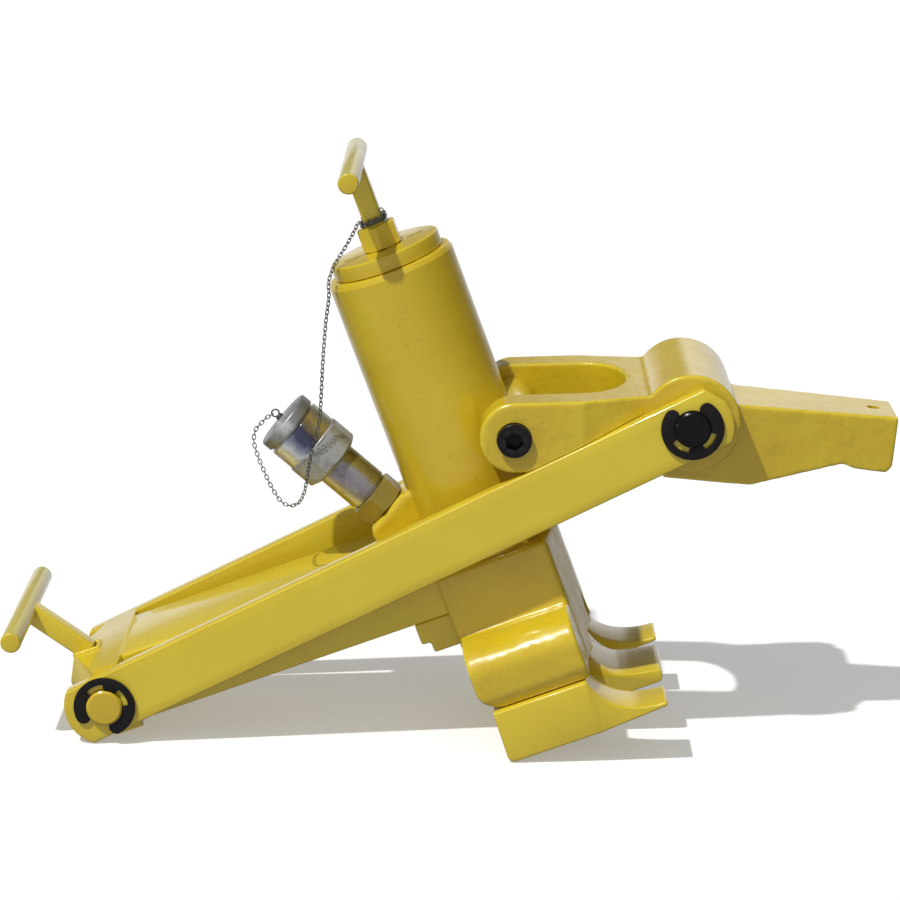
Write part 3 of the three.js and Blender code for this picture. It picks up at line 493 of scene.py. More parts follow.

# %% [markdown]
# ## Finishes
#
# The whole welded frame was sprayed with one glossy yellow enamel. It is thick enough to round the
# edges, slightly rippled like orange peel and deeper where it pooled. Sharp edges are paler, partly for
# thin paint and partly as a painted highlight. Clips, the front pin and the screws are blackened steel,
# the coupler is zinc-plated with an olive adapter and painted reflections along nipple and cap, and the
# hidden parts are ground steel, bronze and rubber. Each finish is noise on Object coordinates, which
# move with the part and stay in place on it.


# %% Helpers for finishes
class Finish(Tree):
    """A material whose patterns are noise on Object coordinates."""

    def __init__(self, name):
        self.material = bpy.data.materials.new(name)
        self.material.use_nodes = True
        super().__init__(self.material.node_tree)
        self.shader = self.tree.nodes["Principled BSDF"]
        self.place = self.node("ShaderNodeTexCoord").outputs["Object"]

    def grain(self, scale, detail=2.0, stretch=None):
        place = self.place
        if stretch:
            place = self.node("ShaderNodeMapping", {"Vector": place, "Scale": stretch})
        return self.node("ShaderNodeTexNoise", {"Vector": place, "Scale": scale, "Detail": detail})

    def mixed(self, share, first, second):
        """A colour is (red, green, blue), or the node or socket that makes one."""
        first, second = ((*colour, 1) if isinstance(colour, tuple) else colour for colour in (first, second))
        return self.node("ShaderNodeMix", {0: share, 6: first, 7: second}, data_type="RGBA").outputs[2]

    def on_edges(self, strength, start, end, body, colour):
        """Another colour where the surface turns sharply outwards."""
        ridge = self.node("ShaderNodeNewGeometry").outputs["Pointiness"]
        return self.mixed(self.spread(ridge, 0, strength, start, end), body, colour)

    def ramp(self, value, stops):
        """Colours at places between 0 and 1, blended in between."""
        made = self.node("ShaderNodeValToRGB", {0: value})
        while len(made.color_ramp.elements) < len(stops):
            made.color_ramp.elements.new(0.5)
        for element, (place, colour) in zip(made.color_ramp.elements, stops):
            element.position, element.color = place, (*colour, 1)
        return made

    def bumps(self, *layers):
        """Each layer is (height, strength, distance in metres)."""
        below = {}
        for height, strength, distance in layers:
            below = {"Normal": self.node("ShaderNodeBump", {
                "Height": height, "Strength": strength, "Distance": distance, **below})}
        self.feed(self.shader, below)


def darker(colour, share):
    return tuple(value * share for value in colour)


# %% Enamel
# The third colour is for sharp edges: partly thin paint, partly a painted highlight.
SPRAYED, POOLED, THIN_AND_HIGHLIT = (0.72, 0.53, 0.018), (0.58, 0.36, 0.012), (0.85, 0.68, 0.04)


def enamel(name, gloss=0.2, lumps=0.0, sides=None):
    """Lumps are those of a rough casting. Sides is a paler colour where the surface doesn't face along Y.

    It stands for light on the handle bars that the photograph shows and this scene's lights don't give.
    """
    paint = Finish(name)
    body = paint.mixed(paint.spread(paint.grain(22, 3), 0, 0.55, 0.4, 0.75), SPRAYED, POOLED)
    specks = paint.spread(paint.grain(420, 2), 0, 0.35, 0.66, 0.76)
    # Sharp edges turn paler: partly thin paint, partly a painted highlight.
    body = paint.on_edges(0.6, 0.505, 0.56, paint.mixed(specks, body, darker(POOLED, 0.45)), THIN_AND_HIGHLIT)
    if sides:
        normal = paint.node("ShaderNodeTexCoord").outputs["Normal"]
        facing = paint.maths("ABSOLUTE", paint.node("ShaderNodeSeparateXYZ", {0: normal}).outputs["Y"])
        patchy = paint.spread(paint.grain(50, 3), 0.12, 0)
        body = paint.mixed(paint.maths("ADD", paint.spread(facing, 0, 1, 0.5, 0.85), patchy), sides, body)
    dull = paint.spread(paint.grain(60, 3), gloss, gloss + 0.14)
    paint.feed(paint.shader, {
        "Base Color": body, "Roughness": dull, "IOR": 1.5, "Coat Weight": 0.55, "Coat Roughness": 0.05})
    paint.bumps((paint.grain(34, 1), 0.28, 0.0012), (paint.grain(120, 1), lumps, 0.0008),
                (paint.grain(700, 1), 0.06, 0.0003))
    return paint.material


YELLOW = enamel("yellow_enamel")
CAST_YELLOW = enamel("yellow_on_casting", lumps=0.7)
HANDLE_YELLOW = enamel("yellow_on_handles", 0.24, sides=(0.66, 0.56, 0.12))
print("enamel", len(YELLOW.node_tree.nodes), "nodes")


# %% Bare and plated metals
def metal(name, colour, shade, rough, metallic=1.0, stretch=None, scale=180.0, worn=None, ior=1.5):
    """Colour and shade alternate broadly, and rough is the range of the roughness."""
    steel = Finish(name)
    fine = steel.grain(scale, 4, stretch)
    body = steel.mixed(steel.spread(steel.grain(45, 2), 0, 1), colour, shade)
    body = steel.mixed(steel.spread(fine, 0, 0.35), body, darker(shade, 0.6))
    if worn:
        body = steel.on_edges(0.8, 0.52, 0.6, body, worn)
    steel.feed(steel.shader, {
        "Base Color": body, "Roughness": steel.spread(fine, *rough), "Metallic": metallic, "IOR": ior})
    steel.bumps((fine, 0.12, 0.0002))
    return steel.material


BLACKENED = metal("blackened_steel", (0.005, 0.004, 0.005), (0.009, 0.007, 0.008), (0.16, 0.3), 0.0,
                  worn=(0.05, 0.045, 0.05), ior=1.28)
GROUND = metal("ground_steel", (0.62, 0.62, 0.63), (0.5, 0.5, 0.52), (0.16, 0.3), stretch=(1, 1, 14),
               scale=120)
SPRING_STEEL = metal("spring_steel", (0.2, 0.2, 0.21), (0.12, 0.12, 0.13), (0.3, 0.5))
BRONZE = metal("bearing_bronze", (0.46, 0.25, 0.08), (0.34, 0.17, 0.05), (0.3, 0.48))
WIRE = metal("chain_wire", (0.3, 0.3, 0.3), (0.1, 0.1, 0.1), (0.25, 0.45), scale=300)
RUBBER = metal("seal_rubber_black", (0.014, 0.014, 0.015), (0.022, 0.022, 0.022), (0.6, 0.8), 0.0, scale=500)


# %% Zinc plate with painted reflections in stripes along the part
def plated(name, into_axis, radius, zones):
    """Stripes of painted reflection and highlight along a turned part. zones is a list of (height, width of
    change, stops, roughness).
    """
    zinc = Finish(name)
    mapped = zinc.node("ShaderNodeMapping", {
        "Vector": zinc.place, "Location": into_axis.to_translation(), "Rotation": into_axis.to_euler(),
        "Scale": into_axis.to_scale()})
    spot = zinc.node("ShaderNodeSeparateXYZ", {0: mapped}).outputs
    # The stops across the part are painted reflections and highlights: bright, dark and yellow stripes.
    cloud = zinc.spread(zinc.grain(90, 4), -0.16, 0.16, 0.2, 0.8)
    across = zinc.maths("ADD", zinc.maths("DIVIDE", spot["X"], radius), cloud)
    share = zinc.spread(across, 0, 1, -1, 1)
    colour, rough, reached = zinc.ramp(share, zones[0][2]), zones[0][3], zones[0][3]
    for height, width, stops, own_rough in zones[1:]:
        above = zinc.spread(spot["Z"], 0, 1, height - width, height + width)
        colour = zinc.mixed(above, colour, zinc.ramp(share, stops))
        rough = zinc.maths("ADD", rough, zinc.maths("MULTIPLY", above, own_rough - reached))
        reached = own_rough
    fine = zinc.grain(260, 4)
    dark = zinc.mixed(0.55, colour, (0.02, 0.02, 0.02))
    zinc.feed(zinc.shader, {
        "Base Color": zinc.mixed(zinc.spread(fine, 0, 0.7, 0.5, 0.75), colour, dark), "Metallic": 0.5,
        "Roughness": zinc.maths("ADD", zinc.spread(fine, 0, 0.12), rough)})
    zinc.bumps((fine, 0.2, 0.0003), (zinc.grain(60, 2), 0.25, 0.0008))
    return zinc.material


print("finishes", len(bpy.data.materials))

# %% [markdown]
# ## Finishing a piece
#
# A finished mesh is leaned back into the model's frame, its faces point outwards, and edges sharper
# than an angle stay crisp while the rest shade smoothly. Then it gets its finish, is hung on the body
# that carries it, and the CAD nodes it stands for are hidden.


# %% Finish and weld helpers
def finish_piece(made, body, finish, slot, *nodes, sharp=38):
    face_outwards(moved(made, TO_ROW), 1e-6)
    mesh = made.data
    mesh.materials.clear()
    mesh.materials.append(finish)
    mesh.polygons.foreach_set("material_index", [0] * len(mesh.polygons))
    mesh.polygons.foreach_set("use_smooth", [True] * len(mesh.polygons))
    mesh.set_sharp_from_angle(angle=math.radians(sharp))
    if body:
        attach(made, body)
    if nodes:
        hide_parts(*nodes)
    mesh.calc_loop_triangles()
    print(made.name, len(mesh.loop_triangles), "triangles, for", ", ".join(nodes) or "no node")


def painted(made, *nodes, body="frame", finish=YELLOW, sharp=38):
    finish_piece(made, body, finish, "yellow_paint", *nodes, sharp=sharp)


def weld(name, line, bead, seed):
    painted(grown(line_object(name, line), weld_tree, {"Bead": bead, "Seed": seed}), sharp=60)


def in_wire(name, line, grower, sizes, *nodes, body="frame"):
    made = grown(line_object(name, line), grower, {"Finish": WIRE, **sizes})
    finish_piece(made, body, WIRE, "bright_steel", *nodes, sharp=80)
    return made


# %% [markdown]
# ## Hanging the chain
#
# The chain winds twice round the handle's foot, where a wire ring holds it. Its other end hooks into
# the eye of the cap.

# %% Chain
chain_piece = in_wire("cap_chain", chain_line, chain_tree, {}, "chain", body=None)
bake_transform(chain_piece)

# %% Its two turns round the handle's foot
wrap_square = rounded([(-6.5, -6.5, 2.6), (6.5, -6.5, 2.6), (6.5, 6.5, 2.6), (-6.5, 6.5, 2.6)], steps=3)
wrap_square = wrap_square[-2:] + wrap_square[:-2]
WRAP_LOW, WRAP_RISE, WRAP_TURNS = 187.0, 2.6, 2
wrap_steps = WRAP_TURNS * len(wrap_square)
wrap_line = [(*spot, WRAP_LOW + WRAP_RISE * step / wrap_steps)
             for step, spot in enumerate(wrap_square * WRAP_TURNS)]
chain_wrap = in_wire("chain_wrap", wrap_line, chain_tree, {"Pitch": 2.0, "Link length": 3.3, "Wire": 0.7})

# %% The wire ring, and the chain's first point and length in the model's frame
ring_tree = Grower("bent_wire", [("Wire", "Float", 0.9)])
given, node, maths = ring_tree.given, ring_tree.node, ring_tree.maths
half_wire = maths("MULTIPLY", given["Wire"], 0.5)
ring_curve = node("GeometryNodeMeshToCurve", {"Mesh": given["Geometry"]})
section = node("GeometryNodeCurvePrimitiveCircle", {"Resolution": 10, "Radius": half_wire})
ring_tree.end(node("GeometryNodeCurveToMesh", {
    "Curve": ring_curve, "Profile Curve": section, "Fill Caps": True}))
ring_angles = [math.radians(-80 + 20 * step) for step in range(18)]
ring_line = [(5.6, -7.2, 189.6)]
ring_line += [(6.3 + 1.1 * math.cos(angle), -6.6, 192.2 + 1.5 * math.sin(angle)) for angle in ring_angles]
chain_ring = in_wire("chain_ring", ring_line, ring_tree, {"Wire": 0.65})
row_line = [TO_ROW @ point for point in chain_line]
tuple(row_line[0])
line_length(row_line)

# %% [markdown]
# ## Cylinder, cap and handles
#
# The cylinder is a thick tube with a turned chamfer at its top, and the cap sits on it with a small
# step. Two spanner slots in the cap were cut by hand, so their edges are uneven. The hexagon under the
# handle and the handle itself are plain bar stock.

# %% Cylinder tube
TUBE_RADIUS, TUBE_BORE, TUBE_TOP, TUBE_FOOT = 34.5, 25, 164.3, -60
LIP_RADIUS, LIP_TOP = 21.6, TUBE_FOOT + 3.6
cylinder = turned("lift_cylinder", [
    (LIP_RADIUS, TUBE_FOOT, 0.6), (TUBE_RADIUS, TUBE_FOOT, 1.2), (TUBE_RADIUS, TUBE_TOP - 3, 1.5),
    (TUBE_RADIUS - 1.4, TUBE_TOP, 0.9), (TUBE_BORE, TUBE_TOP, 0.4), (TUBE_BORE, LIP_TOP),
    (LIP_RADIUS, LIP_TOP)], sides=160, ring=True)


def hole_tool(name):
    """The round hole at the front, which holds the gland's screw."""
    profile = [(0, 20), (8.5, 20), (8.5, 34), (9.6, 35), (9.6, 40), (0, 40)]
    return moved(turned(name, profile, 64), Matrix.Translation((0, 0, -50)) @ ALONG_X)


cut(cylinder, hole_tool("cylinder_hole"))
painted(cylinder, "cylinder_tube")

# %% End cap with its slots
CAP_SEAT, CAP_TOP = 164.6, 172.8
end_cap = turned("cylinder_cap", [
    (0, 150.3), (24.7, 150.3, 0.5), (24.7, CAP_SEAT), (30, CAP_SEAT, 0.4), (30, CAP_TOP, 1.1), (0, CAP_TOP),
], sides=128)
ragged = [(13.5, -1.2), (15.2, -1.9), (17, -1.4), (19, -1.9), (21, -1.3), (22.5, -1.8), (22.6, 1.3),
          (20.6, 1.9), (18.4, 1.4), (16.2, 1.9), (14.6, 1.3), (13.4, 1.7)]
slot_outline = rounded([(*point, 0.5) for point in ragged], steps=2)
for degrees in (13, 193):
    slot_tool = plan_solid("slot_tool", slot_outline, CAP_TOP - 7, CAP_TOP + 2)
    cut(end_cap, moved(slot_tool, Matrix.Rotation(math.radians(degrees), 4, "Z")))
painted(end_cap, "end_cap")


# %% Hexagons
def hexagon(name, flats, low, high, corner, chamfer):
    """A hexagonal bar end: rounded corners, and its rims turned off by a cone."""
    reach = flats / 2 / math.cos(math.radians(30))
    corners = [(*arc((0, 0), reach, angle, angle, 1)[0], corner) for angle in range(30, 390, 60)]
    bar = plan_solid(name, rounded(corners), low, high)
    crown = turned("crown", [
        (0, low), (flats / 2 - 0.2, low), (reach, low + chamfer), (reach, high - chamfer),
        (flats / 2 - 0.2, high), (0, high)], 96)
    return common(bar, crown)


painted(eased(hexagon("cap_hexagon", 20, CAP_TOP + 0.1, 185.6, 0.7, 0.9), 0.5, 2), "cap_boss")


# %% Handles
BAR_RADIUS, STEM_HALF = 5.5, 5.25


def cross_handle(side, node, top, foot, half_bar):
    """A round bar at top, on a square stem that rises from foot."""
    bar = bar_y(side + "_handle_bar", BAR_RADIUS, half_bar, 1.1, top, 48)
    painted(bar, node + "_bar", finish=HANDLE_YELLOW)
    across, rise = (-STEM_HALF, STEM_HALF), top - foot
    stem = eased(block(side + "_handle_stem", across, across, (-rise.length, -2)), 1.3)
    painted(moved(stem, place_at(top, math.degrees(math.atan2(rise.x, rise.z)))), node + "_shank")


cross_handle("upper", "handle_top", Vector((0, 0, 218.8)), Vector((0, 0, 185.7)), 58)
cross_handle("rear", "handle_rear", Vector((-252.9, 0, 50.9)), Vector((-229.4, 0, 16.7)), 60.3)

# %% [markdown]
# ## Beam and pivot block
#
# The beam is plain flat bar. The block at its rear end carries the rear pin: it is six-sided in plan,
# and its top narrows towards the rear. Both have only eased edges. A bead joins them across the top,
# and another joins the beam to the cylinder.

# %% Beam
BEAM_TOP = 18
painted(eased(block("main_beam", (-206.8, -30), (-35, 35), (-20, BEAM_TOP)), 1.6), "beam")

# %% Pivot block
INNER_HALF, BUSH_BORE, EAVES = 45.7, 12.9, 8
pivot_side = rounded([(-207, EAVES), (-242, EAVES), (-242, -2, 3), (-236.8, -14.8, 4), (-224, -20, 4),
                      (-207, -20, 0.5)])
pivot_plan = rounded([(-207, -INNER_HALF, 1), (-207, INNER_HALF, 1), (-222, INNER_HALF, 1.5),
                      (-242, 16, 3), (-242, -16, 3), (-222, -INNER_HALF, 1.5)])
pivot = common(side_solid("pivot_end", pivot_side, -INNER_HALF, INNER_HALF),
               plan_solid("pivot_plan", pivot_plan, -22, 20))
roof = plan_solid("pivot_roof", pivot_plan, EAVES, BEAM_TOP)
TAPER_FROM, TAPER_LENGTH, TAPER_BACK, TAPER_NARROW = -222.5, 19.5, 4.2, 0.75
for corner in roof.data.vertices:
    share = (TAPER_FROM - corner.co.x) / TAPER_LENGTH
    if corner.co.z > EAVES + 1 and share > 0:
        corner.co.x += TAPER_BACK * share
        corner.co.y *= 1 - TAPER_NARROW * share
joined(pivot, roof)
painted(cut(eased(pivot, 1.1), drum_y("pivot_bore", BUSH_BORE, -50, 50, REAR_PIN)), "pivot_block")

# %% Beads on the frame
weld("bead_pivot_top", [(-206.9, y, 17.3) for y in range(-34, 35, 2)], 1.2, 3)
weld("bead_beam_cylinder", [(*spot, 18.2) for spot in arc((0, 0), 35.2, 100, 260, 60)], 2.3, 5)
foot_square = [(-5.6, -5.6), (5.6, -5.6), (5.6, 5.6), (-5.6, 5.6), (-5.6, -5.6)]
weld("bead_upper_handle", [(x * 0.98, y * 0.98, 185.8) for x, y in foot_square], 0.9, 9)
weld("bead_rear_handle", [(-230.2 + x * 1.2, y, 18.2) for x, y in foot_square], 1.3, 11)

# %% [markdown]
# ## Casting
#
# Below the beam a heavy block wraps the cylinder. On each side it swells into a rolled shoulder that
# carries a claw, and behind it steps down to a heel. The photograph shows soft, thickly painted forms
# here, so the solids are joined and then given a skin of small even faces, which is smoothed as a
# casting's corners are. The bore and the slot for the foot are cut afterwards, and stay crisp.

# %% Casting
roll_arc = [(38 + 28.5 * abs(x) ** 0.8, -52 + 17.8 * abs(z) ** 0.8) for x, z in arc((0, 0), 1, 90, 0, 18)]
shoulder_outline = [(33, -69.7), (33, -34.2)] + roll_arc + [(66.5, -62), (63.5, -69.7)]
heel_round = arc((-18.5, -56.7), 13, 180, 270, 16) + [(28.6, -69.7), (28.6, -30), (-31.5, -30)]
wrap_plan = both_sides([(-33.3, 38), (29, 38), (35.4, 4)])
core = eased(plan_solid("cheek_casting", wrap_plan, -69.7, 2), 2.4, 4, 30)
shoulders = []
for sign in (-1, 1):
    roll = cross_solid("shoulder", [(sign * y, z) for y, z in shoulder_outline], -31.5, 28.6)
    shoulders.append(eased(common(roll, side_solid("heel_round", heel_round, -70, 70)), 2.6, 4, 50))
heel_outline = [(-31, -20.3), (-53, -20.3), (-53, -32.5), (-48, -32.5), (-48, -38.6), (-31, -38.6)]
heel_solid = eased(side_solid("heel_step", heel_outline, -33, 33), 1.5)
casting = cast(joined(core, *shoulders), 1.15, 6)
casting = joined(casting, heel_solid)
cut(casting, drum("casting_bore", TUBE_RADIUS + 0.2, -60.3, 40, 160),
    block("foot_slot", (-22.3, 40), (-21.3, 21.3), (-80, -58)), hole_tool("casting_hole"))
painted(casting, "casting", finish=CAST_YELLOW)

# %% [markdown]
# ## Claws and foot
#
# Two claws reach under the tyre's bead, and the ram pushes the middle foot against it. All three are
# flame-cut from plate: a flat sole, a square back and a hollow curve to a thin toe. A drawn outline
# pushed to its width gives exactly that, and the eased edges catch the light as in the photograph.

# %% Claws
SOLE = -99.3
TOE, CLAW_IN, CLAW_OUT = 62, 40.5, 67.5
claw_top, claw_front, toe_top, claw_deep = -70, 25.6, SOLE + 4.8, 29.3
claw_outline = [(-26.4, claw_top), (-27.3, SOLE + 2.4), (-24.9, SOLE), (23, SOLE), (TOE, SOLE + 2.4),
                (TOE, toe_top)]
claw_outline += curved((TOE, toe_top), (TOE - claw_deep / 2, toe_top),
                       (claw_front + claw_deep / 7, toe_top + claw_deep / 5), (claw_front, claw_top))
for side, near, far in (("near", -CLAW_OUT, -CLAW_IN), ("far", CLAW_IN, CLAW_OUT)):
    painted(eased(side_solid("bead_claw_" + side, claw_outline, near, far), 1.1), "claw_" + side)

# %% Ram foot
foot_top, foot_deep = -60.3, 39
hollow = smooth_line([
    (TOE - 2.2, 0, -92), (44, 0, foot_top - foot_deep * 0.73), (36, 0, foot_top - foot_deep * 0.63),
    (28.5, 0, foot_top - foot_deep * 0.26), (30.5, 0, foot_top)], 8)
foot_outline = [(-22, foot_top), (-22, SOLE), (59.8, SOLE), (TOE, SOLE + 2.2), (TOE, -92.7)]
foot_outline += [(point.x, point.z) for point in hollow]
foot_piece = eased(side_solid("pushing_foot", foot_outline, -21, 21), 1.0)
SCREW_BORE, SCREW_SINK = 6.1, 9.3
cut(foot_piece, drum("foot_bore", SCREW_BORE, -110, -50, 48),
    drum("foot_sink", SCREW_SINK, -110, SOLE + 12.3, 64))
painted(foot_piece, "ram_foot", body="ram")

# %% Ram rod
ROD_RADIUS, ROD_LOW, ROD_TOP, SPIGOT_TOP = 19, -60.0, 117.7, 133.7
rod_piece = turned("ram_rod_ground", [
    (0, -30), (SCREW_BORE, -30), (SCREW_BORE, ROD_LOW), (ROD_RADIUS, ROD_LOW, 0.6),
    (ROD_RADIUS, ROD_TOP, 0.8), (11, ROD_TOP), (11, SPIGOT_TOP, 0.6), (0, SPIGOT_TOP)])
finish_piece(rod_piece, "ram", GROUND, "bright_steel", "ram_rod")

# %% [markdown]
# ## Links, pins and clips
#
# A pair of flat bars joins the rear pin to the front pin, outside everything that turns between
# them. The rear pin was painted with the frame, and the front pin went in later and stayed black.
# Each pin end has a groove with a wide E-clip in it, and paint shows through the clip's two windows.

# %% Links
link_angle = slope(REAR_PIN, FRONT_PIN)
link_length = (FRONT_PIN - REAR_PIN).length
LINK_HALF, LINK_END, LINK_THICK = 15.9, 21.8, 9.5
link_corner = math.degrees(math.asin(LINK_HALF / LINK_END))
link_outline = arc((0, 0), LINK_END, 180 - link_corner, 180 + link_corner, 32)
link_outline += arc((link_length, 0), LINK_END, -link_corner, 14, 24) + [(link_length + 14, LINK_HALF)]
ON_LINK = place_at(REAR_PIN, -math.degrees(link_angle))
for side, near in (("near", -55.5), ("far", 46.0)):
    bar = eased(side_solid("swing_link_" + side, link_outline, near, near + LINK_THICK), 0.9, 3, 35)
    moved(bar, ON_LINK)
    for at in (REAR_PIN, FRONT_PIN):
        cut(bar, drum_y("link_bore", 9.8, near - 2, near + 12, at))
    painted(bar, "link_" + side, body="links")

# %% Pins
PIN_RADIUS, PIN_HALF, GROOVE = 9.525, 59.2, 8.225
pin_end = [(PIN_RADIUS, 55.7, 0.15), (GROOVE, 55.7, 0), (GROOVE, 57.8, 0), (PIN_RADIUS, 57.8, 0.2),
           (PIN_RADIUS, PIN_HALF - 0.9, 0.3), (PIN_RADIUS - 1.1, PIN_HALF, 0.3)]
pin_profile = [(0, -PIN_HALF)] + [(radius, -height, edge) for radius, height, edge in reversed(pin_end)]
pin_profile += pin_end + [(0, PIN_HALF)]
for side, at, finish, slot_name in (("rear", REAR_PIN, YELLOW, "yellow_paint"),
                                    ("front", FRONT_PIN, BLACKENED, "black_steel")):
    pin = lying(turned("pivot_pin_" + side, pin_profile), at)
    finish_piece(pin, "links", finish, slot_name, "pin_" + side)


# %% E-clips
def clip_outline():
    """Wide open ring with three lugs; 0 degrees is opposite its mouth."""
    outer, lug, window, end = 16.4, 8.55, 12.6, 133
    half = (outer - lug) / 2
    first_horn, last_horn = (arc((0, 0), lug + half, turn, turn, 1)[0] for turn in (end, -end))
    line = arc((0, 0), outer, -end, end, 72)
    # The first horn is a thousandth flatter than the last.
    line += [(x, first_horn[1] + (y - first_horn[1]) * 0.999)
             for x, y in arc(first_horn, half, end, end + 180, 12)[1:-1]]
    line += arc((0, 0), lug, end, 69, 24) + arc((0, 0), window, 66, 21, 16) + arc((0, 0), lug, 18, -18, 14)
    line += arc((0, 0), window, -21, -66, 16) + arc((0, 0), lug, -69, -end, 24)
    return line + arc(last_horn, half, 180 - end, 360 - end, 12)[1:-1]


CLIP_OUTLINE = clip_outline()
for pin_name, side, at, low, mouth in (
        ("rear", "near", REAR_PIN, -57.35, -128), ("rear", "far", REAR_PIN, 56.1, 75),
        ("front", "near", FRONT_PIN, -57.35, 82), ("front", "far", FRONT_PIN, 56.1, 82)):
    clip_name = "clip_" + pin_name + "_" + side
    clip = eased(side_solid("e_" + clip_name, CLIP_OUTLINE, low, low + 1.25), 0.25, 2)
    moved(clip, place_at(at, -(mouth + 180)))
    finish_piece(clip, "links", BLACKENED, "black_steel", clip_name)

# %% [markdown]
# ## Clamp arm
#
# The clamp arm hooks behind the wheel's rim. Its fork straddles the cylinder with two round ears, its
# hub turns on the front pin, and its hooked nose runs down to a thin tip. It takes the most skill of
# all: three forms that lean at different angles have to meet, and the fork is relieved where the
# links swing past it. The solids are joined and cast as the casting is, and bores stay crisp.

# %% Fork
EAR = FRONT_PIN + Vector((-88.8, 0, 25.4))
fork_run = math.hypot(88.8, 25.4)
ON_FORK = place_at(EAR, 18.3)
ON_NOSE = place_at(FRONT_PIN, 25.4)
EAR_RADIUS, FORK_TOP, FORK_HALF = 18, 19.3, 54
fork_side = [(x, z * FORK_TOP / EAR_RADIUS if z > 0 else z) for x, z in arc((0, 0), EAR_RADIUS, 90, 270, 32)]
fork_side += [(fork_run, -EAR_RADIUS), (fork_run, FORK_TOP)]
fork_plan = both_sides([
    (-20, 52), (-16, FORK_HALF), (36, FORK_HALF), (68, INNER_HALF), (fork_run, INNER_HALF)])
MOUTH_HALF, MOUTH_STRAIGHT, MOUTH_DEEP = 34, 37, 23.5
mouth = [(-20, MOUTH_HALF), (-20, -MOUTH_HALF)]
mouth += [(MOUTH_STRAIGHT + MOUTH_DEEP * x, MOUTH_HALF * z) for x, z in arc((0, 0), 1, -90, 90, 32)]
fork = common(side_solid("clamp_fork", fork_side, -FORK_HALF, FORK_HALF),
              plan_solid("fork_plan", fork_plan, -22, 22))
moved(cut(fork, plan_solid("fork_mouth", mouth, -22, 22)), ON_FORK)
print("fork", len(fork.data.polygons), "faces")

# %% Hub, nose and the cast skin
hub = bar_y("hub", 25.9, INNER_HALF, 1, FRONT_PIN)
NOSE_HALF, NOSE_TOP, NOSE_TIP = 24, 7.2, 111.5
nose_side = rounded([(0, NOSE_TOP), (-10, -36), (37, -36, 6), (85, -20.4, 4), (91, -22.6, 2),
                     (108.6, -23.6, 2), (NOSE_TIP, -20, 2), (NOSE_TIP, NOSE_TOP, 1)])
nose_plan = both_sides([(-12, NOSE_HALF), (25.5, NOSE_HALF), (NOSE_TIP, 18.5)])
nose = common(side_solid("nose", nose_side, -NOSE_HALF, NOSE_HALF),
              plan_solid("nose_plan", nose_plan, -40, 9))
arm = joined(fork, hub, moved(nose, ON_NOSE))
arm.name = "rim_clamp_arm"
cast(arm, 0.95, 5)
print("cast arm", len(arm.data.polygons), "faces")


# %% Bores of the arm
def tube_room():
    return drum("tube_room", TUBE_RADIUS + 0.4, -60, 200, 160)


PAST_ARM, SCREW_SEAT, SWING_ROOM = 60, 47.7, 0.12
arm_tools = [drum_y("hub_bore", BUSH_BORE, -50, 50, FRONT_PIN), tube_room(),
             moved(drum("nose_hole", 3.4, -13, 12, 48), ON_NOSE @ Matrix.Translation((100, 0, 0)))]
for low, high, sink in ((-PAST_ARM, -30, (-PAST_ARM, -SCREW_SEAT)), (30, PAST_ARM, (SCREW_SEAT, PAST_ARM))):
    arm_tools += [drum_y("ear_bore", SCREW_BORE, low, high, EAR), drum_y("ear_sink", SCREW_SINK, *sink, EAR)]
for across in ((INNER_HALF + SWING_ROOM, PAST_ARM), (-PAST_ARM, -INNER_HALF - SWING_ROOM)):
    beside = block("beside_link", (link_length - 150, link_length + 27.5), across, (-60, 16.3))
    arm_tools.append(moved(beside, ON_LINK))
painted(cut(arm, *arm_tools), "clamp_arm", body="clamp", finish=CAST_YELLOW, sharp=48)

# %% Cross bar and ear screws
cross_piece = bar_y("cross_bar_round", 12.5, 33.7, 0.8, EAR)
cut(cross_piece, tube_room(), drum_y("tap", SCREW_BORE, -36, -23.7, EAR),
    drum_y("tap", SCREW_BORE, 23.7, 36, EAR))
painted(cross_piece, "cross_bar", body="clamp")
for side, mirror in (("near", Matrix.Identity(4)), ("far", FAR_SIDE)):
    screw = turned("ear_screw_head_" + side, [
        (0, 24), (5.8, 24, 0.6), (5.8, 48, 0.3), (9, 48, 0.3), (9, 58, 0.9), (0, 58)], 64)
    cut(screw, plan_solid("key_socket", arc((0, 0), 4.5 / math.cos(math.radians(30)), 20, 320, 5), 53, 60))
    moved(screw, Matrix.Translation(EAR) @ Matrix.Rotation(math.radians(90), 4, "X"))
    finish_piece(moved(screw, mirror), "clamp", BLACKENED, "black_steel", "ear_screw_" + side)

# %% [markdown]
# ## Port, coupler and dust cap
#
# Oil comes in through a boss beside the cylinder. A screwed adapter with a hexagon and a nipple stand
# on it, under a turned dust cap. The boss is cast, so it gets the same soft skin, and the coupler's
# parts are turned. The adapter's olive is taken for paint sprayed with the frame, and is partly a
# painted reflection of the yellow frame. The adapter's olive is taken for paint sprayed with the
# frame, and the yellow edges of nipple and cap for its mist, though they may be reflections too. The
# yellow edges of nipple and cap are painted reflections of the yellow frame.
#
# Two faults are left here. The boss's inner end reaches about 5 mm into the cylinder's bore, where
# nobody sees it, and the piston passes through it when the ram is out. The stripes along the nipple
# and the dust cap are colours set after the photograph. The bright and the dark ones stand for
# its reflections, which ought to come from the shader and the lights, so they stay in place on the
# part when the camera or the light moves.

# %% Port boss
COUPLER_LEAN = 29.1
ON_COUPLER = place_at(Vector((-46.8, 0, 37)), -COUPLER_LEAN)
lean = math.radians(COUPLER_LEAN)
INTO_COUPLER = (TO_ROW @ ON_COUPLER).inverted()
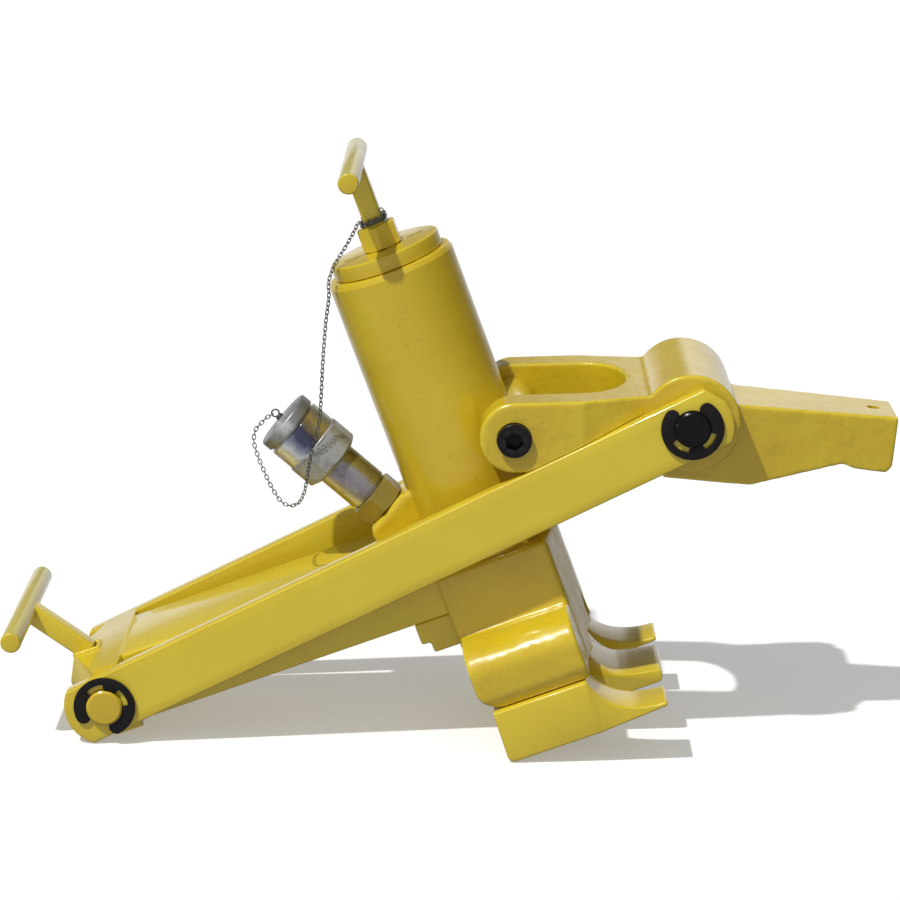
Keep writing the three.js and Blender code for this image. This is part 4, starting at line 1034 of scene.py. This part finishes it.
# The bands' bright, dark and yellow stops are painted reflections and highlights across each part.
GREY_REFLECTION_BAND = [(0.0, (0.38, 0.36, 0.3)), (0.2, (0.55, 0.56, 0.54)), (0.55, (0.44, 0.45, 0.44)),
             (0.85, (0.5, 0.5, 0.48)), (1.0, (0.36, 0.34, 0.26))]
BODY_REFLECTION_BAND = [(0.0, (0.5, 0.34, 0.06)), (0.09, (0.72, 0.6, 0.25)), (0.15, (0.95, 0.95, 0.93)),
             (0.3, (0.8, 0.82, 0.84)), (0.42, (0.3, 0.32, 0.4)), (0.52, (0.09, 0.09, 0.17)),
             (0.66, (0.06, 0.06, 0.11)), (0.75, (0.24, 0.18, 0.08)), (0.86, (0.42, 0.34, 0.12)),
             (1.0, (0.3, 0.3, 0.26))]
DISC_REFLECTION_BAND = [(0.0, (0.3, 0.3, 0.29)), (0.35, (0.36, 0.36, 0.35)), (0.55, (0.72, 0.73, 0.72)),
             (0.66, (0.34, 0.34, 0.34)), (1.0, (0.2, 0.2, 0.19))]
NECK_REFLECTION_BAND = [(0.0, (0.4, 0.32, 0.06)), (0.14, (0.5, 0.42, 0.14)), (0.22, (0.8, 0.79, 0.75)),
             (0.33, (0.42, 0.41, 0.43)), (0.5, (0.3, 0.27, 0.33)), (0.72, (0.4, 0.38, 0.4)),
             (0.84, (0.34, 0.29, 0.08)), (1.0, (0.26, 0.21, 0.04))]
ZINC_CAP = plated("zinc_dust_cap", INTO_COUPLER, 18, [
    (0, 1, GREY_REFLECTION_BAND, 0.42), (55.2, 0.3, BODY_REFLECTION_BAND, 0.14), (68.8, 0.3, DISC_REFLECTION_BAND, 0.32)])
ZINC_NECK = plated("zinc_neck", INTO_COUPLER, 12.2, [(0, 1, NECK_REFLECTION_BAND, 0.22)])
# The adapter's olive is partly paint sprayed with the frame, partly a painted reflection of the yellow
# frame.
OLIVE = metal("oversprayed_steel", (0.26, 0.21, 0.075), (0.4, 0.31, 0.05), (0.3, 0.45), 0.3, scale=120)
seat = (-46.8 - 2 * math.sin(lean), 37 + 2 * math.cos(lean))
face_high, face_low = ((seat[0] + half * math.cos(lean), seat[1] + half * math.sin(lean))
                       for half in (13, -13))
boss_outline = [(-20, 14), (-20, face_high[1] + 3), face_high, face_low, (face_low[0], face_low[1] - 5.2),
                (face_low[0] + 2.6, 14)]
boss = cast(eased(side_solid("port_block", boss_outline, -14, 14), 3.2, 4), 0.8, 5)
painted(boss, "port_boss", finish=CAST_YELLOW)
far_seam = [(-56.5, 12), (-52, 14.4), (-20, 14.4)]
boss_seam = [(x, -y) for x, y in reversed(far_seam)] + [(-57, 0)] + far_seam
weld("bead_port", [(*spot, 18.3) for spot in boss_seam], 1.9, 21)

# %% Adapter and nipple
adapter = hexagon("hose_adapter", 24.6, 2.3, 13.9, 0.9, 1.2)
joined(adapter, drum("adapter_stub", 8, -7.7, 3.3, 48))
finish_piece(moved(adapter, ON_COUPLER), "frame", OLIVE, "zinc_plate", "coupler_adapter")
nipple = turned("hose_nipple", [
    (0, 14.2), (11.4, 14.2, 0.3), (11.4, 15.4), (12.2, 15.7, 0.3), (12.2, 39.2, 0.5),
    (9.5, 39.2), (9.5, 61.2, 1.5), (5.5, 61.2, 0.3), (5.5, 55.2), (0, 55.2)])
finish_piece(moved(nipple, ON_COUPLER), "frame", ZINC_NECK, "zinc_plate", "coupler_nipple")

# %% Dust cap
CAP_LOW, CAP_HIGH = 38.5, 77.2
COLLAR_TOP = CAP_LOW + 16.5
dust_cap = turned("dust_cover", [
    (0, 61.5), (9.8, 61.5), (9.8, CAP_LOW + 8), (12.6, CAP_LOW + 8), (12.6, CAP_LOW), (13.6, CAP_LOW, 0.3),
    (18, CAP_LOW + 2.3, 0.6), (18, COLLAR_TOP - 0.9, 0.3), (17.2, COLLAR_TOP, 0.3),
    (17.2, CAP_HIGH - 9.2, 0.4), (15.6, CAP_HIGH - 8.9), (15.6, CAP_HIGH - 7.7),
    (17, CAP_HIGH - 7.4, 0.4), (17, CAP_HIGH - 1.4, 1.2), (0, CAP_HIGH)], 128)
grip = hexagon("grip_flats", 33.6, CAP_LOW - 1, COLLAR_TOP + 0.5, 2.5, 0.2)
around = drum("grip_room", 30, CAP_LOW - 2, COLLAR_TOP - 0.4, 96)
cut(dust_cap, cut(around, grip))
finish_piece(moved(dust_cap, ON_COUPLER), "cap", ZINC_CAP, "zinc_plate", "dust_cap")

# %% Cap eye
eye_stud = turned("cap_eye_stud", [(0, 76.6), (2.1, 76.6), (2.1, 78.5, 0.5), (0, 78.9)], 32)
bpy.ops.mesh.primitive_torus_add(major_radius=2.0, minor_radius=0.45, major_segments=40, minor_segments=12)
eye_ring = bpy.context.object
eye_ring.name = "cap_eye_ring"
moved(eye_ring, Matrix.Translation((0, 0, 80.6)) @ Matrix.Rotation(math.radians(90), 4, "X"))
joined(eye_stud, eye_ring)
finish_piece(moved(eye_stud, ON_COUPLER), "cap", SPRING_STEEL, "zinc_plate", "cap_eye")

# %% [markdown]
# ## Hidden parts
#
# Piston, gland, seals, bushes, spring and screws sit inside and stay as the CAD model has them. They
# only get their finishes, so that they look right when the ram comes out or a part is taken off.

# %% Finishes for carried-over nodes
CARRIED = {
    GROUND: ["piston"], SPRING_STEEL: ["return_spring"], RUBBER: ["piston_seal", "rod_wiper"],
    BRONZE: ["rod_gland", "pivot_bush_near", "pivot_bush_far", "arm_bush_near", "arm_bush_far"],
    BLACKENED: ["foot_screw", "gland_screw"],
}
for finish, names in CARRIED.items():
    for name in names:
        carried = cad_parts[name]
        for slot_index in range(len(carried.material_slots)):
            carried.material_slots[slot_index].link = "OBJECT"
            carried.material_slots[slot_index].material = finish
print("carried over", sum(len(names) for names in CARRIED.values()))

# %% [markdown]
# ## Light and floor
#
# The photograph has one clear light from above, the left and the front, with crisp shadows on the ear
# and the cap, and white all round that lies on the gloss. A sun gives the first. A white world gives
# the second, dimmed in places, as a photographer's room is. The floor is pale and plain, and glows a
# little, so that the backdrop stays white.

# %% Floor
floor = mesh_object("studio_floor", [(-40, -40, 0), (40, -40, 0), (40, 40, 0), (-40, 40, 0)], [(0, 1, 2, 3)])
moved(floor, Matrix.Translation((0, 0, -0.0004)))
pale = Finish("pale_floor")
pale.feed(pale.shader, {
    "Base Color": pale.mixed(pale.grain(3), (0.9, 0.9, 0.89), (0.93, 0.93, 0.93)), "Roughness": 0.85,
    "Emission Color": (1, 1, 1, 1), "Emission Strength": 0.26})
floor.data.materials.append(pale.material)
floor.visible_diffuse = floor.visible_glossy = False

# %% White room
world = bpy.data.worlds.new("white_room")
world.use_nodes = True
room = Tree(world.node_tree)
gaze = room.node("ShaderNodeTexCoord").outputs["Generated"]
towards = room.node("ShaderNodeSeparateXYZ", {0: gaze}).outputs
front = room.spread(towards["Y"], 0.5, 0.17, -0.6, 0)
back = room.spread(towards["Y"], 0, 0.75, 0.6, 0.9)
horizon = room.spread(towards["Z"], 1, 0, 0.02, 0.16)
right_half = room.spread(towards["X"], 0, 1, -0.01, 0.07)
glow = room.maths("MULTIPLY", room.maths("MAXIMUM", horizon, right_half), back)
dim = room.spread(towards["X"], 1, 0.5, 0.1, 0.85)
level = room.maths("MULTIPLY", room.maths("ADD", front, glow), dim)
room.feed(room.tree.nodes["Background"], {"Strength": level, "Color": (1, 1, 1, 1)})
scene.world = world

# %% Key light
key_data = bpy.data.lights.new("key_light", "SUN")
key_data.angle, key_data.energy = math.radians(1.2), 2.4
key = bpy.data.objects.new("key_light", key_data)
scene.collection.objects.link(key)
toward = Vector((-5.74, -5.83, 12.64)).normalized()
key.matrix_world = Matrix.Translation(toward * 2.4) @ toward.to_track_quat("Z", "Y").to_matrix().to_4x4()
scene.view_settings.view_transform = "Standard"
print("key at", [round(value, 2) for value in key.matrix_world.translation])
